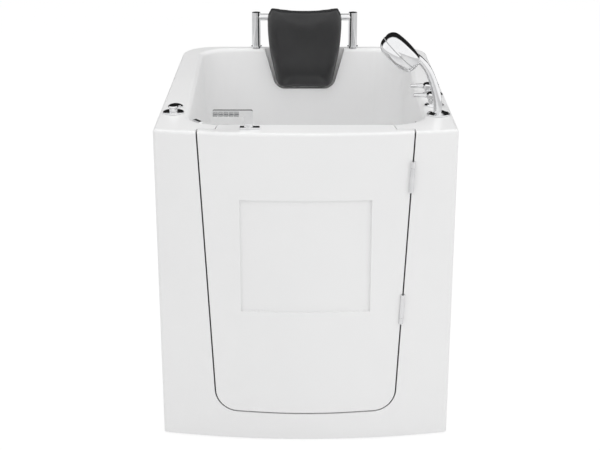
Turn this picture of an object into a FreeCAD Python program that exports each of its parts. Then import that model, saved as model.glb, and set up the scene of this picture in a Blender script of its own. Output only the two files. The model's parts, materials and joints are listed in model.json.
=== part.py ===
import FreeCAD
import Part
import math
import os

V = FreeCAD.Vector

# A front-entry jetted bathtub in millimetres. The origin is on the floor at the middle of the footprint,
# +Z is up, and the door is on the -Y side.

# Outer body
TUB_WIDTH = 790.0
TUB_LENGTH = 1076.0
RIM_HEIGHT = 880.0
FRONT_BOW = 42.0
BACK_CORNER_RADIUS = 108.0
FRONT_CORNER_RADIUS = 10.0
EDGE_RADIUS = 8.0
WALL = 6.0
DECK_THICKNESS = 10.0
APRON_GAP = 4.0
RIM_LIP = 60.0
FRONT_RETURN = 60.0
OVERCUT = 60.0

# Basin
FRONT_THICKNESS = 99.0
BACK_DECK = 38.0
SIDE_DECK_FRONT = 86.0
SIDE_DECK_BACK = 60.0
BASIN_FRONT_RADIUS = 90.0
BASIN_BACK_RADIUS = 95.0
SIDE_DRAFT_DEG = 3.0
BACKREST_LEAN_DEG = 7.6
FLOOR_LEVEL = 95.0
SEAT_LEVEL = 430.0
RISER_FOOT_FROM_FRONT = 455.0
RISER_SLOPE_DEG = 4.0
RISER_COVE = 50.0
SEAT_EDGE_RADIUS = 40.0
COVE_RADIUS = 25.0
RIM_ROLL = 14.0

# Headrest recess in the backrest
RECESS_TOP_WIDTH = 264.0
RECESS_BOTTOM_WIDTH = 188.0
RECESS_DROP = 131.0
RECESS_INTO_RIM = 11.0
RECESS_CORNER_RADIUS = 40.0

# Door
FRAME_TOP_WIDTH = 116.0
FRAME_BOTTOM_WIDTH = 152.5
DOOR_BOTTOM = 83.0
DOOR_SAG = 7.0
DOOR_SAG_ROUNDING = 0.45
DOOR_CORNER_RADIUS = 60.0
DOOR_GAP = 4.0
FLANGE_DEPTH = 45.0
FLANGE_LAP = 46.0
PLUG_DRAFT = 6.0
PLUG_GAP = 3.0
SEAL_SPACE = 4.0
SEAL_CLEARANCE = 0.3
SEAL_REACH = 2.4
SEAL_SETBACK = 5.0
SEAL_WIDTH = 24.0
SEAL_TOP_DROP = 14.0
INSET_SIDE_MARGIN = 83.8
INSET_TOP_DROP = 180.0
INSET_BOTTOM = 385.0
INSET_DEPTH = 7.0
INSET_PLATE = 4.0

# Hinges, whose axis lies along the slanted seam
KNUCKLE_RADIUS = 6.25
HINGE_PIN_RADIUS = 3.0
HINGE_RUNNING_GAP = 0.05
HINGE_LEAF = 1.6
HINGE_LEAF_CLEARANCE = 5.2
HINGE_NOTCH_GAP = 0.4
UPPER_HINGE_TOP_DROP = 78.0
LOWER_HINGE_TOP_DROP = 450.0
LONG_KNUCKLE = 66.0
SHORT_KNUCKLE = 18.0
KNUCKLE_GAP = 0.4

# Latch on the door top
LATCH_FROM_DOOR_EDGE = 131.5
LATCH_FROM_FRONT = 47.0
LATCH_PLATE_LENGTH = 51.0
LATCH_PLATE_WIDTH = 18.0
LATCH_PLATE_HEIGHT = 6.0
LATCH_PLATE_OFFSET = 3.0
LATCH_STEM_WIDTH = 22.6
LATCH_STEM_HEIGHT = 50.5
LATCH_ARM_REACH = 92.5
LATCH_ARM_HEIGHT = 15.0
LATCH_ARM_THICKNESS = 9.0
SPINDLE_RADIUS = 5.0
SPINDLE_GAP = 0.06
PINION_RADIUS = 11.46
RACK_GAP = 0.3
PINION_HEIGHT = 12.0
BOLT_THICKNESS = 8.0
BOLT_HEIGHT = 12.0
BOLT_DROP = 18.0
BOLT_GAP = 0.3
BOLT_SETBACK = 1.5
LATCH_CASE_WALL = 4.0
LATCH_CASE_LENGTH = 66.0
KEEPER_WALL = 3.0
KEEPER_LENGTH = 16.0

# Headrest rail and pad
POST_X = 159.0
POST_FROM_BACK = 18.0
POST_RADIUS = 14.0
POST_HEIGHT = 117.0
BASE_RING_RADIUS = 17.5
BASE_RING_HEIGHT = 6.0
STUD_RADIUS = 5.0
STUD_GAP = 0.2
STUD_LENGTH = 34.0
CROSSBAR_RADIUS = 11.0
CROSSBAR_HEIGHT = 101.0
CROSSBAR_SOCKET = 8.0
PAD_MAX_WIDTH = 244.0
PAD_BOTTOM_WIDTH = 180.0
PAD_CORNER_RADIUS = 26.0
PAD_BULGE = 12.0
PAD_TOP_ABOVE_RIM = 144.0
PAD_BOTTOM_BELOW_RIM = 124.0
PAD_WIDEST_ABOVE_RIM = 88.0
PAD_TOP_DIP = 17.0
PAD_TOP_WIDTH = 212.0
PAD_TOP_CORNER_RADIUS = 20.0
PAD_THICKNESS = 48.0
PAD_HOLLOW = 12.0
BOARD_THICKNESS = 6.0
BOARD_MARGIN = 22.0
CLIP_X = 62.0
CLIP_WIDTH = 18.0
CLIP_WALL = 4.5
CLIP_GAP = 0.08

# Deck fittings, measured from the rim's edges
RIGHT_FITTING_INSET = 41.0
LEFT_FITTING_INSET = 39.0
SHOWER_FROM_FRONT = 191.0
SHOWER_OUTSET = 2.0
FRONT_VALVE_FROM_FRONT = 289.0
REAR_VALVE_FROM_FRONT = 398.0
AIR_CONTROL_FROM_FRONT = 210.0
BUTTON_FROM_FRONT = 274.0
HOLE_GAP = 0.3
RUNNING_GAP = 0.05

# Hand shower
HANDLE_LEAN_DEG = 10.0
HANDLE_FOOT_GAP = 4.0
STUB_RADIUS = 10.0
STUB_LENGTH = 34.0
SOCKET_FLANGE_RADIUS = 30.0
SOCKET_HEIGHT = 9.0
SOCKET_WALL = 5.0
SOCKET_DEPTH = 44.0
HEAD_RADIUS = 57.5
HEAD_EDGE = 4.5
HEAD_FACE_RADIUS = 40.0
HEAD_FACE_DEPTH = 28.0
SPRAY_PLATE_RADIUS = 37.0
SPRAY_PLATE_SINK = 2.0
HEAD_DOME = 35.5
HEAD_REACH = 108.0
HEAD_RISE = 167.6
HEAD_TILT_DEG = 43.7
# The handle's sections above its foot: reach towards the basin, height above the rim, half depth, half width
HANDLE_SECTIONS = (
    (7.3, 57.7, 11.4, 11.5),
    (18.4, 93.0, 10.8, 10.9),
    (34.0, 126.0, 10.3, 10.6),
    (51.4, 146.0, 10.5, 12.0),
    (68.0, 158.5, 12.0, 18.0),
    (86.0, 170.0, 14.0, 26.0),
)
HANDLE_FOOT_RADIUS = 12.2

# Lever valves
VALVE_FLANGE_RADIUS = 26.5
VALVE_FLANGE_EDGE = 3.0
VALVE_FLANGE_HEIGHT = 7.0
VALVE_NECK_RADIUS = 17.0
VALVE_NECK_HEIGHT = 18.0
VALVE_CAP_RADIUS = 23.0
VALVE_CAP_TOP = 37.0
VALVE_SPINDLE_RADIUS = 6.0
VALVE_SPINDLE_TOP = 30.0
VALVE_SHANK_RADIUS = 13.0
VALVE_SHANK_LENGTH = 56.0
LEVER_REACH = 58.0
LEVER_RADIUS = 5.0
LEVER_ROOT_RADIUS = 7.0
LEVER_HEIGHT = 29.0
TURN_GAP = 0.4

# Mixing manifold and supply tails
MANIFOLD_HALF_WIDTH = 17.0
MANIFOLD_TOP_DROP = 52.0
MANIFOLD_HEIGHT = 64.0
MANIFOLD_OVERHANG = 26.0
CUP_WALL = 4.0
TAIL_RADIUS = 9.5
TAIL_BORE = 7.0
TAIL_INSET = 7.5
TAIL_END_HEIGHT = 300.0
TAIL_THREAD_RADIUS = 10.5
TAIL_THREAD_LENGTH = 24.0
SPOUT_FLANGE_RADIUS = 24.0
SPOUT_FLANGE_HEIGHT = 5.0
SPOUT_RADIUS = 10.0
SPOUT_REACH = 22.0

# Air control and power button
CONTROL_FLANGE_RADIUS = 27.5
CONTROL_FLANGE_HEIGHT = 5.0
CONTROL_BEVEL = 3.0
CONTROL_SHANK_RADIUS = 14.0
CONTROL_SHANK_LENGTH = 48.0
KNOB_RADIUS = 11.5
KNOB_TOP_RADIUS = 14.0
KNOB_LIP = 6.0
KNOB_BEVEL = 2.0
KNOB_HEIGHT = 15.0
KNOB_SPINDLE_RADIUS = 4.0
KNOB_SPINDLE_HEIGHT = 12.0
BUTTON_FLANGE_RADIUS = 19.5
BUTTON_RADIUS = 15.5
BUTTON_HEIGHT = 5.0
BUTTON_EDGE = 2.0
BUTTON_TRAVEL = 3.0
BUTTON_STEM_RADIUS = 4.0
BUTTON_STEM_LENGTH = 20.0

# Overflow plate with drain control at the front left corner
OVERFLOW_WIDTH = 40.0
OVERFLOW_HEIGHT = 62.0
OVERFLOW_THICKNESS = 9.0
OVERFLOW_STANDOFF = 4.0
OVERFLOW_TURN_DEG = 35.0
OVERFLOW_TOP_DROP = 2.0
OVERFLOW_PIPE_RADIUS = 12.0
OVERFLOW_PIPE_WALL = 3.0
OVERFLOW_PIPE_LENGTH = 34.0
DRAIN_KNOB_RADIUS = 11.0
DRAIN_KNOB_HEIGHT = 14.0
DRAIN_KNOB_SPINDLE = 4.0
DRAIN_GRIP_THICKNESS = 5.0
DRAIN_GRIP_HEIGHT = 6.0
DRAIN_KNOB_BEVEL = 2.0

# Drain
DRAIN_FROM_FRONT = 298.0
DRAIN_FLANGE_RADIUS = 35.0
DRAIN_FLANGE_HEIGHT = 3.0
DRAIN_TAIL_RADIUS = 24.0
DRAIN_BORE_RADIUS = 20.0
STOPPER_RADIUS = 26.0
STOPPER_HEIGHT = 5.0
STOPPER_STEM_RADIUS = 4.0
STOPPER_LIFT = 10.0
DRAIN_BODY_RADIUS = 38.0
DRAIN_BODY_BOTTOM = 12.0
WASTE_RADIUS = 20.0
WASTE_BORE = 17.0
WASTE_HEIGHT = 36.0
WASTE_END_FROM_BACK = 20.0
WASTE_SPIGOT_RADIUS = 19.0
WASTE_SPIGOT_LENGTH = 50.0

# Jets
JET_HOLE_RADIUS = 20.0
JET_BODY_RADIUS = 26.0
JET_BODY_DEPTH = 46.0
JET_TRIM_RADIUS = 33.0
JET_TRIM_HEIGHT = 5.0
JET_BALL_RADIUS = 15.0
JET_BALL_GAP = 0.3
JET_BALL_DEPTH = 6.0
JET_SNOUT_RADIUS = 8.5
JET_SNOUT_LENGTH = 11.0
JET_BORE_RADIUS = 4.5
JET_SWIVEL_DEG = 12.0
JET_PIN_RADIUS = 2.5
JET_PIN_REACH = 17.5
JET_PIN_END_GAP = 0.5
JET_SNOUT_GAP = 1.0
JET_TRIM_BEVEL = 2.0
JET_TAIL_RADIUS = 9.0
JET_TAIL_LENGTH = 20.0
BACK_JET_X = 140.0
BACK_JET_ABOVE_SEAT = 150.0
HIP_JET_ABOVE_SEAT = 90.0
HIP_JET_FROM_BACK = 360.0

# Suction, pump and jet manifold
PUMP_AXIS_ABOVE_FRAME = 92.0
SUCTION_COVER_RADIUS = 42.0
SUCTION_COVER_HEIGHT = 9.0
SUCTION_PIPE_RADIUS = 25.0
SUCTION_PIPE_BORE = 22.0
SUCTION_FITTING_RADIUS = 34.0
SUCTION_FITTING_DEPTH = 26.0
PUMP_BASE_WIDTH = 150.0
PUMP_BASE_THICKNESS = 6.0
WET_END_RADIUS = 66.0
WET_END_LENGTH = 62.0
MOTOR_RADIUS = 62.0
MOTOR_LENGTH = 190.0
MOTOR_FOOT_WIDTH = 90.0
DISCHARGE_RADIUS = 20.0
JET_MANIFOLD_RADIUS = 30.0
JET_MANIFOLD_LENGTH = 260.0
JET_MANIFOLD_RISE = 128.0
BARB_RADIUS = 9.0
BARB_LENGTH = 24.0
BARB_COUNT = 4

# Panels, frame and feet
PANEL_REVEAL = 3.0
RAIL_SIZE = 30.0
UPRIGHT_DEPTH = 20.0
FRAME_FRONT_GAP = 30.0
CROSS_RAIL_FROM_FRONT = (146.0, 478.0, 660.0, 918.0)
UPRIGHT_FROM_FRONT = (118.0, 560.0, 900.0)
SEAT_POST_X = 200.0
FOOT_RADIUS = 16.0
FOOT_PANEL_GAP = 2.0
FOOT_HEIGHT = 10.0
FOOT_STEM_RADIUS = 6.0
LOCK_NUT_RADIUS = 11.0
LOCK_NUT_HEIGHT = 8.0
SCREW_HEAD_RADIUS = 4.5
SCREW_HEAD_HEIGHT = 2.0
SCREW_SHANK_RADIUS = 2.0
SCREW_GAP = 0.2
SCREW_BOTTOM_MARGIN = 136.0
SCREW_TOP_MARGIN = 47.0

# Places worked out from the sizes
y_front = -TUB_LENGTH / 2
y_back = TUB_LENGTH / 2
half_width = TUB_WIDTH / 2
bow_radius = (half_width ** 2 + FRONT_BOW ** 2) / (2 * FRONT_BOW)
bow_centre_y = y_front + bow_radius
basin_front_y = y_front + FRONT_THICKNESS
basin_back_y = y_back - BACK_DECK
basin_front_half = half_width - SIDE_DECK_FRONT
basin_flare = (SIDE_DECK_FRONT - SIDE_DECK_BACK) / (basin_back_y - basin_front_y)
side_draft = math.tan(math.radians(SIDE_DRAFT_DEG))
backrest_lean = math.radians(BACKREST_LEAN_DEG)
riser_slope = math.tan(math.radians(RISER_SLOPE_DEG))
riser_foot_y = y_front + RISER_FOOT_FROM_FRONT
flange_back_y = y_front + FLANGE_DEPTH
door_top_width = TUB_WIDTH - 2 * FRAME_TOP_WIDTH
door_bottom_width = TUB_WIDTH - 2 * FRAME_BOTTOM_WIDTH
door_taper = (door_top_width - door_bottom_width) / 2 / (RIM_HEIGHT - DOOR_BOTTOM)
door_tilt = math.atan(door_taper)
deck_underside = RIM_HEIGHT - DECK_THICKNESS
frame_top = FLOOR_LEVEL - WALL
frame_bottom = frame_top - RAIL_SIZE
recess_floor_y = basin_back_y + RECESS_INTO_RIM
post_y = y_back - POST_FROM_BACK
bar_height = RIM_HEIGHT + CROSSBAR_HEIGHT
right_x = half_width - RIGHT_FITTING_INSET
left_x = -half_width + LEFT_FITTING_INSET
panel_inside = half_width - WALL
panel_top = RIM_HEIGHT - RIM_LIP - PANEL_REVEAL
inset_top = RIM_HEIGHT - INSET_TOP_DROP
latch_x = -door_top_width / 2 + LATCH_FROM_DOOR_EDGE
AXIS_X = V(1, 0, 0)
AXIS_Y = V(0, 1, 0)
AXIS_Z = V(0, 0, 1)


def box(x0, x1, y0, y1, z0, z1):
    return Part.makeBox(x1 - x0, y1 - y0, z1 - z0, V(x0, y0, z0))


def rod(radius, start, end):
    along = end.sub(start)
    return Part.makeCylinder(radius, along.Length, start, along)


def tube(outer, inner, start, end):
    return rod(outer, start, end).cut(rod(inner, start, end))


def turned(points):
    """Solid of revolution about +Z from (radius, height) points."""
    wire = Part.makePolygon([V(r, 0, z) for r, z in points + points[:1]])
    return Part.Face(wire).revolve(V(0, 0, 0), AXIS_Z, 360)


def aimed(shape, origin, direction):
    """A shape drawn along +Z, turned to a direction and moved to an origin."""
    placement = FreeCAD.Placement(origin, FreeCAD.Rotation(AXIS_Z, direction))
    moved = shape.copy()
    moved.Placement = placement.multiply(shape.Placement)
    return moved


def facing(shape, point, direction, level):
    """A shape drawn with +Z along a direction and +X along a level one, moved to a point."""
    turn = FreeCAD.Rotation(level, direction.cross(level), direction, "ZXY")
    moved = shape.copy()
    moved.Placement = FreeCAD.Placement(point, turn).multiply(shape.Placement)
    return moved


def level_across(direction):
    return AXIS_Z.cross(direction).normalize()


def shifted(shape, x, y, z):
    moved = shape.copy()
    moved.translate(V(x, y, z))
    return moved


def rounded_wire(points, radii):
    """Closed wire through points, with an arc of the given radius at each corner."""
    count = len(points)
    starts = []
    edges = []
    for i, corner in enumerate(points):
        if radii[i] == 0:
            starts.append((corner, corner))
            continue
        to_last = points[i - 1].sub(corner).normalize()
        to_next = points[(i + 1) % count].sub(corner).normalize()
        half = to_last.getAngle(to_next) / 2
        run = radii[i] / math.tan(half)
        inward = to_last.add(to_next).normalize()
        first = corner.add(to_last.multiply(run))
        last = corner.add(to_next.multiply(run))
        middle = corner.add(inward.multiply(radii[i] / math.sin(half) - radii[i]))
        starts.append((first, last))
        edges.append(Part.Arc(first, middle, last).toShape())
    for i in range(count):
        leave = starts[i][1]
        reach = starts[(i + 1) % count][0]
        if leave.distanceToPoint(reach) > 1e-6:
            edges.append(Part.LineSegment(leave, reach).toShape())
    return Part.Wire(Part.__sortEdges__(edges))


def edge_middle(edge):
    return edge.valueAt((edge.FirstParameter + edge.LastParameter) / 2)


def edges_at_height(shape, z):
    found = []
    for edge in shape.Edges:
        points = [vertex.Point for vertex in edge.Vertexes] + [edge_middle(edge)]
        if all(abs(point.z - z) < 1e-4 for point in points):
            found.append(edge)
    return found


# Outer body

def front_face_y(x, inset=0.0):
    return bow_centre_y - math.sqrt((bow_radius - inset) ** 2 - x * x)


def body_prism(inset, bottom, top):
    """The tub's outline, drawn in by an inset, between two heights."""
    half = half_width - inset
    back = y_back - inset
    radius = BACK_CORNER_RADIUS - inset
    bend = radius * (1 - math.sqrt(0.5))
    corner_y = front_face_y(half, inset)
    edges = [
        Part.Arc(V(-half, corner_y, 0), V(0, y_front + inset, 0), V(half, corner_y, 0)).toShape(),
        Part.LineSegment(V(half, corner_y, 0), V(half, back - radius, 0)).toShape(),
        Part.Arc(V(half, back - radius, 0), V(half - bend, back - bend, 0),
                 V(half - radius, back, 0)).toShape(),
        Part.LineSegment(V(half - radius, back, 0), V(-half + radius, back, 0)).toShape(),
        Part.Arc(V(-half + radius, back, 0), V(-half + bend, back - bend, 0),
                 V(-half, back - radius, 0)).toShape(),
        Part.LineSegment(V(-half, back - radius, 0), V(-half, corner_y, 0)).toShape(),
    ]
    face = Part.Face(Part.Wire(edges))
    return shifted(face.extrude(V(0, 0, top - bottom)), 0, 0, bottom)


def outer_body():
    block = body_prism(0, APRON_GAP, RIM_HEIGHT)
    corner_y = front_face_y(half_width)
    upright = []
    for edge in block.Edges:
        middle = edge_middle(edge)
        if abs(middle.y - corner_y) < 1e-4 and abs(abs(middle.x) - half_width) < 1e-4:
            upright.append(edge)
    block = block.makeFillet(FRONT_CORNER_RADIUS, upright)
    return block.makeFillet(EDGE_RADIUS, edges_at_height(block, RIM_HEIGHT))


# Basin

def basin_back_at(z, grow=0.0):
    return basin_back_y + grow / math.cos(backrest_lean) - (RIM_HEIGHT - z) * math.tan(backrest_lean)


def basin_half_at(y, z, grow=0.0):
    return basin_front_half + (y - basin_front_y) * basin_flare + grow - (RIM_HEIGHT - z) * side_draft


def riser_y_at(z):
    return riser_foot_y + (z - FLOOR_LEVEL) * riser_slope


def basin_corners(z, grow):
    front = basin_front_y - grow
    back = basin_back_at(z, grow)
    front_half = basin_half_at(front, z, grow)
    back_half = basin_half_at(back, z, grow)
    return [V(-front_half, front, z), V(front_half, front, z), V(back_half, back, z), V(-back_half, back, z)]


def basin_walls(grow, top):
    """The basin's four leaning walls with rounded corners, before its floor and seat."""
    low = basin_corners(FLOOR_LEVEL - OVERCUT, grow)
    high = basin_corners(top, grow)
    faces = [Part.Face(Part.makePolygon(ring + ring[:1])) for ring in (low[::-1], high)]
    for i in range(4):
        j = (i + 1) % 4
        faces.append(Part.Face(Part.makePolygon([low[i], low[j], high[j], high[i], low[i]])))
    shell = Part.makeShell(faces)
    shell.sewShape()
    block = Part.makeSolid(shell)
    front_edges = []
    back_edges = []
    for edge in block.Edges:
        ends = [vertex.Point for vertex in edge.Vertexes]
        if abs(ends[0].z - ends[1].z) > 1:
            nearer_front = edge_middle(edge).y < 0
            (front_edges if nearer_front else back_edges).append(edge)
    block = block.makeFillet(BASIN_FRONT_RADIUS + grow, front_edges)
    middles = [edge_middle(edge) for edge in back_edges]
    back_edges = [edge for edge in block.Edges
                  if any(edge_middle(edge).distanceToPoint(middle) < 1e-3 for middle in middles)]
    return block.makeFillet(BASIN_BACK_RADIUS + grow, back_edges)


def below_seat(grow):
    """Everything under the foot well's floor, the riser and the seat."""
    far = TUB_LENGTH
    reach = TUB_WIDTH
    floor = FLOOR_LEVEL - grow
    seat = SEAT_LEVEL - grow
    set_back = grow / math.cos(math.radians(RISER_SLOPE_DEG))
    points = [
        V(-reach, -far, floor),
        V(-reach, riser_y_at(floor) + set_back, floor),
        V(-reach, riser_y_at(seat) + set_back, seat),
        V(-reach, far, seat),
        V(-reach, far, -far),
        V(-reach, -far, -far),
    ]
    wire = rounded_wire(points, [0, RISER_COVE + grow, SEAT_EDGE_RADIUS - grow, 0, 0, 0])
    return Part.Face(wire).extrude(V(2 * reach, 0, 0))


def basin(grow, top):
    walls = basin_walls(grow, top)
    under = below_seat(grow)
    hollow = walls.cut(under)
    wall_faces = Part.makeCompound(walls.Faces)
    under_faces = Part.makeCompound(under.Faces)
    cove_edges = []
    for edge in hollow.Edges:
        point = Part.Vertex(edge_middle(edge))
        if point.distToShape(wall_faces)[0] < 1e-3 and point.distToShape(under_faces)[0] < 1e-3:
            cove_edges.append(edge)
    return hollow.makeFillet(COVE_RADIUS + grow, cove_edges)


def recess_prism(grow, back):
    top = RIM_HEIGHT + OVERCUT
    slope = (RECESS_TOP_WIDTH - RECESS_BOTTOM_WIDTH) / 2 / RECESS_DROP
    low = RIM_HEIGHT - RECESS_DROP - grow
    high_half = RECESS_TOP_WIDTH / 2 + OVERCUT * slope + grow
    low_half = RECESS_BOTTOM_WIDTH / 2 + grow
    start = basin_back_at(low) - OVERCUT
    points = [V(-high_half, start, top), V(-low_half, start, low), V(low_half, start, low),
              V(high_half, start, top)]
    radius = RECESS_CORNER_RADIUS + grow
    return Part.Face(rounded_wire(points, [0, radius, radius, 0])).extrude(V(0, back - start, 0))


# Door outline

def door_half(z):
    return door_top_width / 2 - (RIM_HEIGHT - z) * door_taper


inset_width = 2 * (door_half(INSET_BOTTOM) - INSET_SIDE_MARGIN)


def door_wire(grow, y):
    top = RIM_HEIGHT + OVERCUT
    low = DOOR_BOTTOM - grow
    side = low + DOOR_SAG
    spread = grow / math.cos(door_tilt)
    low_half = door_half(side) + spread
    high_half = door_half(top) + spread
    crown = DOOR_SAG_ROUNDING * low_half ** 2 / DOOR_SAG
    corner = DOOR_CORNER_RADIUS + grow
    points = [V(-high_half, y, top), V(-low_half, y, side), V(0, y, low), V(low_half, y, side),
              V(high_half, y, top)]
    return rounded_wire(points, [0, corner, crown, corner, 0])


def door_prism(grow, start, end):
    return Part.Face(door_wire(grow, start)).extrude(V(0, end - start, 0))


def plug_loft(grow, start, end):
    """The door's inner part, narrower towards the basin, grown by a margin and cut at two depths."""
    def margin(y):
        return grow - FLANGE_LAP - PLUG_DRAFT * (y - flange_back_y) / (basin_front_y - flange_back_y)
    return Part.makeLoft([door_wire(margin(start), start), door_wire(margin(end), end)], True, True)


def below_rim(shape):
    return shape.common(box(-TUB_WIDTH, TUB_WIDTH, -TUB_LENGTH, TUB_LENGTH, -OVERCUT, RIM_HEIGHT))


# Hinge frame: its +Z runs up the slanted seam and its origin is level with the rim

hinge_x = door_half(RIM_HEIGHT) + DOOR_GAP / 2 / math.cos(door_tilt)
hinge_y = front_face_y(door_half(DOOR_BOTTOM))
hinge_leaf_depth = flange_back_y - hinge_y - HINGE_LEAF_CLEARANCE
hinge_origin = V(hinge_x, hinge_y, RIM_HEIGHT)


def on_hinge(shape):
    placement = FreeCAD.Placement(hinge_origin, FreeCAD.Rotation(AXIS_Y, math.degrees(door_tilt)))
    moved = shape.copy()
    moved.Placement = placement.multiply(shape.Placement)
    return moved


def hinge_spans():
    """Each hinge's heights along its axis: (door knuckle low, high, frame knuckle low, high)."""
    upper_top = -UPPER_HINGE_TOP_DROP
    upper_split = upper_top - SHORT_KNUCKLE
    lower_top = -LOWER_HINGE_TOP_DROP
    lower_split = lower_top - LONG_KNUCKLE
    return [
        (upper_split - KNUCKLE_GAP - LONG_KNUCKLE, upper_split - KNUCKLE_GAP, upper_split, upper_top),
        (lower_split, lower_top, lower_split - KNUCKLE_GAP - SHORT_KNUCKLE, lower_split - KNUCKLE_GAP),
    ]


def hinge_notches():
    cuts = []
    for span in hinge_spans():
        low = min(span) - HINGE_NOTCH_GAP
        high = max(span) + HINGE_NOTCH_GAP
        cuts.append(on_hinge(rod(KNUCKLE_RADIUS + HINGE_NOTCH_GAP, V(0, 0, low), V(0, 0, high))))
    return cuts


def hinge_seal_gaps():
    """Room around each hinge's leaves, where the seal stops."""
    cuts = []
    for span in hinge_spans():
        room = box(-DOOR_GAP, DOOR_GAP, -FLANGE_DEPTH, hinge_leaf_depth + 1, min(span) - 1, max(span) + 1)
        cuts.append(on_hinge(room))
    return cuts


def hinge_leaf(side, low, high, bore):
    """One knuckle with its leaf in the seam, on the door side (-1) or the frame side (+1)."""
    outer_face = side * DOOR_GAP / 2
    inner_face = outer_face - side * HINGE_LEAF
    leaf = box(min(outer_face, inner_face), max(outer_face, inner_face),
               bore + HINGE_NOTCH_GAP, hinge_leaf_depth, low, high)
    return on_hinge(rod(KNUCKLE_RADIUS, V(0, 0, low), V(0, 0, high)).fuse(leaf).cut(
        rod(bore, V(0, 0, low), V(0, 0, high))).removeSplitter())


# Jet places: point on the basin's surface and direction into the basin

def wall_direction(x, y, z):
    return V(x, y, z).normalize()


def jet_places():
    back_z = SEAT_LEVEL + BACK_JET_ABOVE_SEAT
    hip_z = SEAT_LEVEL + HIP_JET_ABOVE_SEAT
    hip_y = y_back - HIP_JET_FROM_BACK
    backrest = wall_direction(0, -1, math.tan(backrest_lean))
    places = {}
    for side, sign in (("left", -1), ("right", 1)):
        hip_wall = wall_direction(-sign, basin_flare, side_draft)
        hip_x = sign * basin_half_at(hip_y, hip_z)
        places["back_" + side] = (V(sign * BACK_JET_X, basin_back_at(back_z), back_z), backrest)
        places["hip_" + side] = (V(hip_x, hip_y, hip_z), hip_wall)
    return places


pump_z = frame_top + PUMP_BASE_THICKNESS + PUMP_AXIS_ABOVE_FRAME
suction_point = V(0, riser_y_at(pump_z), pump_z)
suction_direction = wall_direction(0, -1, riser_slope)
shower_y = y_front + SHOWER_FROM_FRONT
valve_ys = {"front": y_front + FRONT_VALVE_FROM_FRONT, "rear": y_front + REAR_VALVE_FROM_FRONT}
air_y = y_front + AIR_CONTROL_FROM_FRONT
button_y = y_front + BUTTON_FROM_FRONT
drain_y = y_front + DRAIN_FROM_FRONT
lean = math.radians(HANDLE_LEAN_DEG)
shower_axis = V(-math.sin(lean), 0, math.cos(lean))
shower_origin = V(right_x + SHOWER_OUTSET, shower_y, RIM_HEIGHT)
spout_z = RIM_HEIGHT - MANIFOLD_TOP_DROP - MANIFOLD_HEIGHT / 2
spout_y = (valve_ys["front"] + valve_ys["rear"]) / 2
spout_point = V(basin_half_at(spout_y, spout_z), spout_y, spout_z)
spout_direction = wall_direction(-1, basin_flare, side_draft)
corner_centre = V(-basin_front_half + BASIN_FRONT_RADIUS, basin_front_y + BASIN_FRONT_RADIUS, 0)
overflow_turn = math.radians(OVERFLOW_TURN_DEG)
overflow_direction = wall_direction(math.cos(overflow_turn), math.sin(overflow_turn), side_draft)
overflow_z = RIM_HEIGHT - OVERFLOW_TOP_DROP - OVERFLOW_HEIGHT / 2
overflow_seat = corner_centre.sub(V(overflow_direction).multiply(BASIN_FRONT_RADIUS - OVERFLOW_STANDOFF))
overflow_point = V(overflow_seat.x, overflow_seat.y, overflow_z)
latch_y = y_front + LATCH_FROM_FRONT
bolt_y = latch_y + PINION_RADIUS + RACK_GAP
bolt_top = deck_underside - BOLT_DROP
bolt_z = bolt_top - BOLT_HEIGHT / 2
plug_depth_share = (bolt_y + BOLT_THICKNESS / 2 - flange_back_y) / (basin_front_y - flange_back_y)
plug_face_x = -(door_half(bolt_z) - (FLANGE_LAP + PLUG_DRAFT * plug_depth_share) / math.cos(door_tilt))
bolt_tip_x = plug_face_x + BOLT_SETBACK


def bolt_passage(margin, start, end):
    return box(start, end, bolt_y - margin, bolt_y + BOLT_THICKNESS + margin,
               bolt_top - BOLT_HEIGHT - margin, bolt_top + margin)


# Tub shell

def make_tub_shell(body):
    skin = body.cut(body_prism(WALL, -OVERCUT, deck_underside))
    side_openings = box(-TUB_WIDTH, TUB_WIDTH, front_face_y(half_width) + FRONT_RETURN, TUB_LENGTH,
                        -OVERCUT, RIM_HEIGHT - RIM_LIP)
    skin = skin.cut(side_openings)
    rebate_y = flange_back_y + SEAL_SPACE
    jamb = door_prism(DOOR_GAP + WALL, y_front - OVERCUT, rebate_y + WALL)
    jamb = jamb.fuse(plug_loft(PLUG_GAP + WALL, rebate_y, basin_front_y)).common(body)
    recess_back = below_rim(recess_prism(WALL, recess_floor_y + WALL))
    shell = skin.fuse([basin(WALL, RIM_HEIGHT), jamb, recess_back]).cut(basin(0, RIM_HEIGHT + OVERCUT))
    shell = shell.removeSplitter()
    lip = [edge for edge in edges_at_height(shell, RIM_HEIGHT) if inside_deck(edge_middle(edge))]
    shell = shell.makeFillet(RIM_ROLL, lip)
    opening = door_prism(DOOR_GAP, y_front - OVERCUT, rebate_y)
    opening = opening.fuse(plug_loft(PLUG_GAP, rebate_y - SEAL_SPACE, basin_front_y + WALL))
    return shell.cut([opening, recess_prism(0, recess_floor_y)] + hinge_notches() + shell_holes())


def inside_deck(point):
    return abs(point.x) < half_width - EDGE_RADIUS - 1 and point.y < y_back - EDGE_RADIUS - 1 \
        and point.y > front_face_y(point.x) + EDGE_RADIUS + 1


def deck_hole(x, y, radius):
    return rod(radius, V(x, y, deck_underside - 1), V(x, y, RIM_HEIGHT + 1))


def wall_hole(radius, point, direction):
    reach = V(direction).multiply(WALL * 3)
    return rod(radius, point.sub(reach), point.add(reach))


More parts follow.
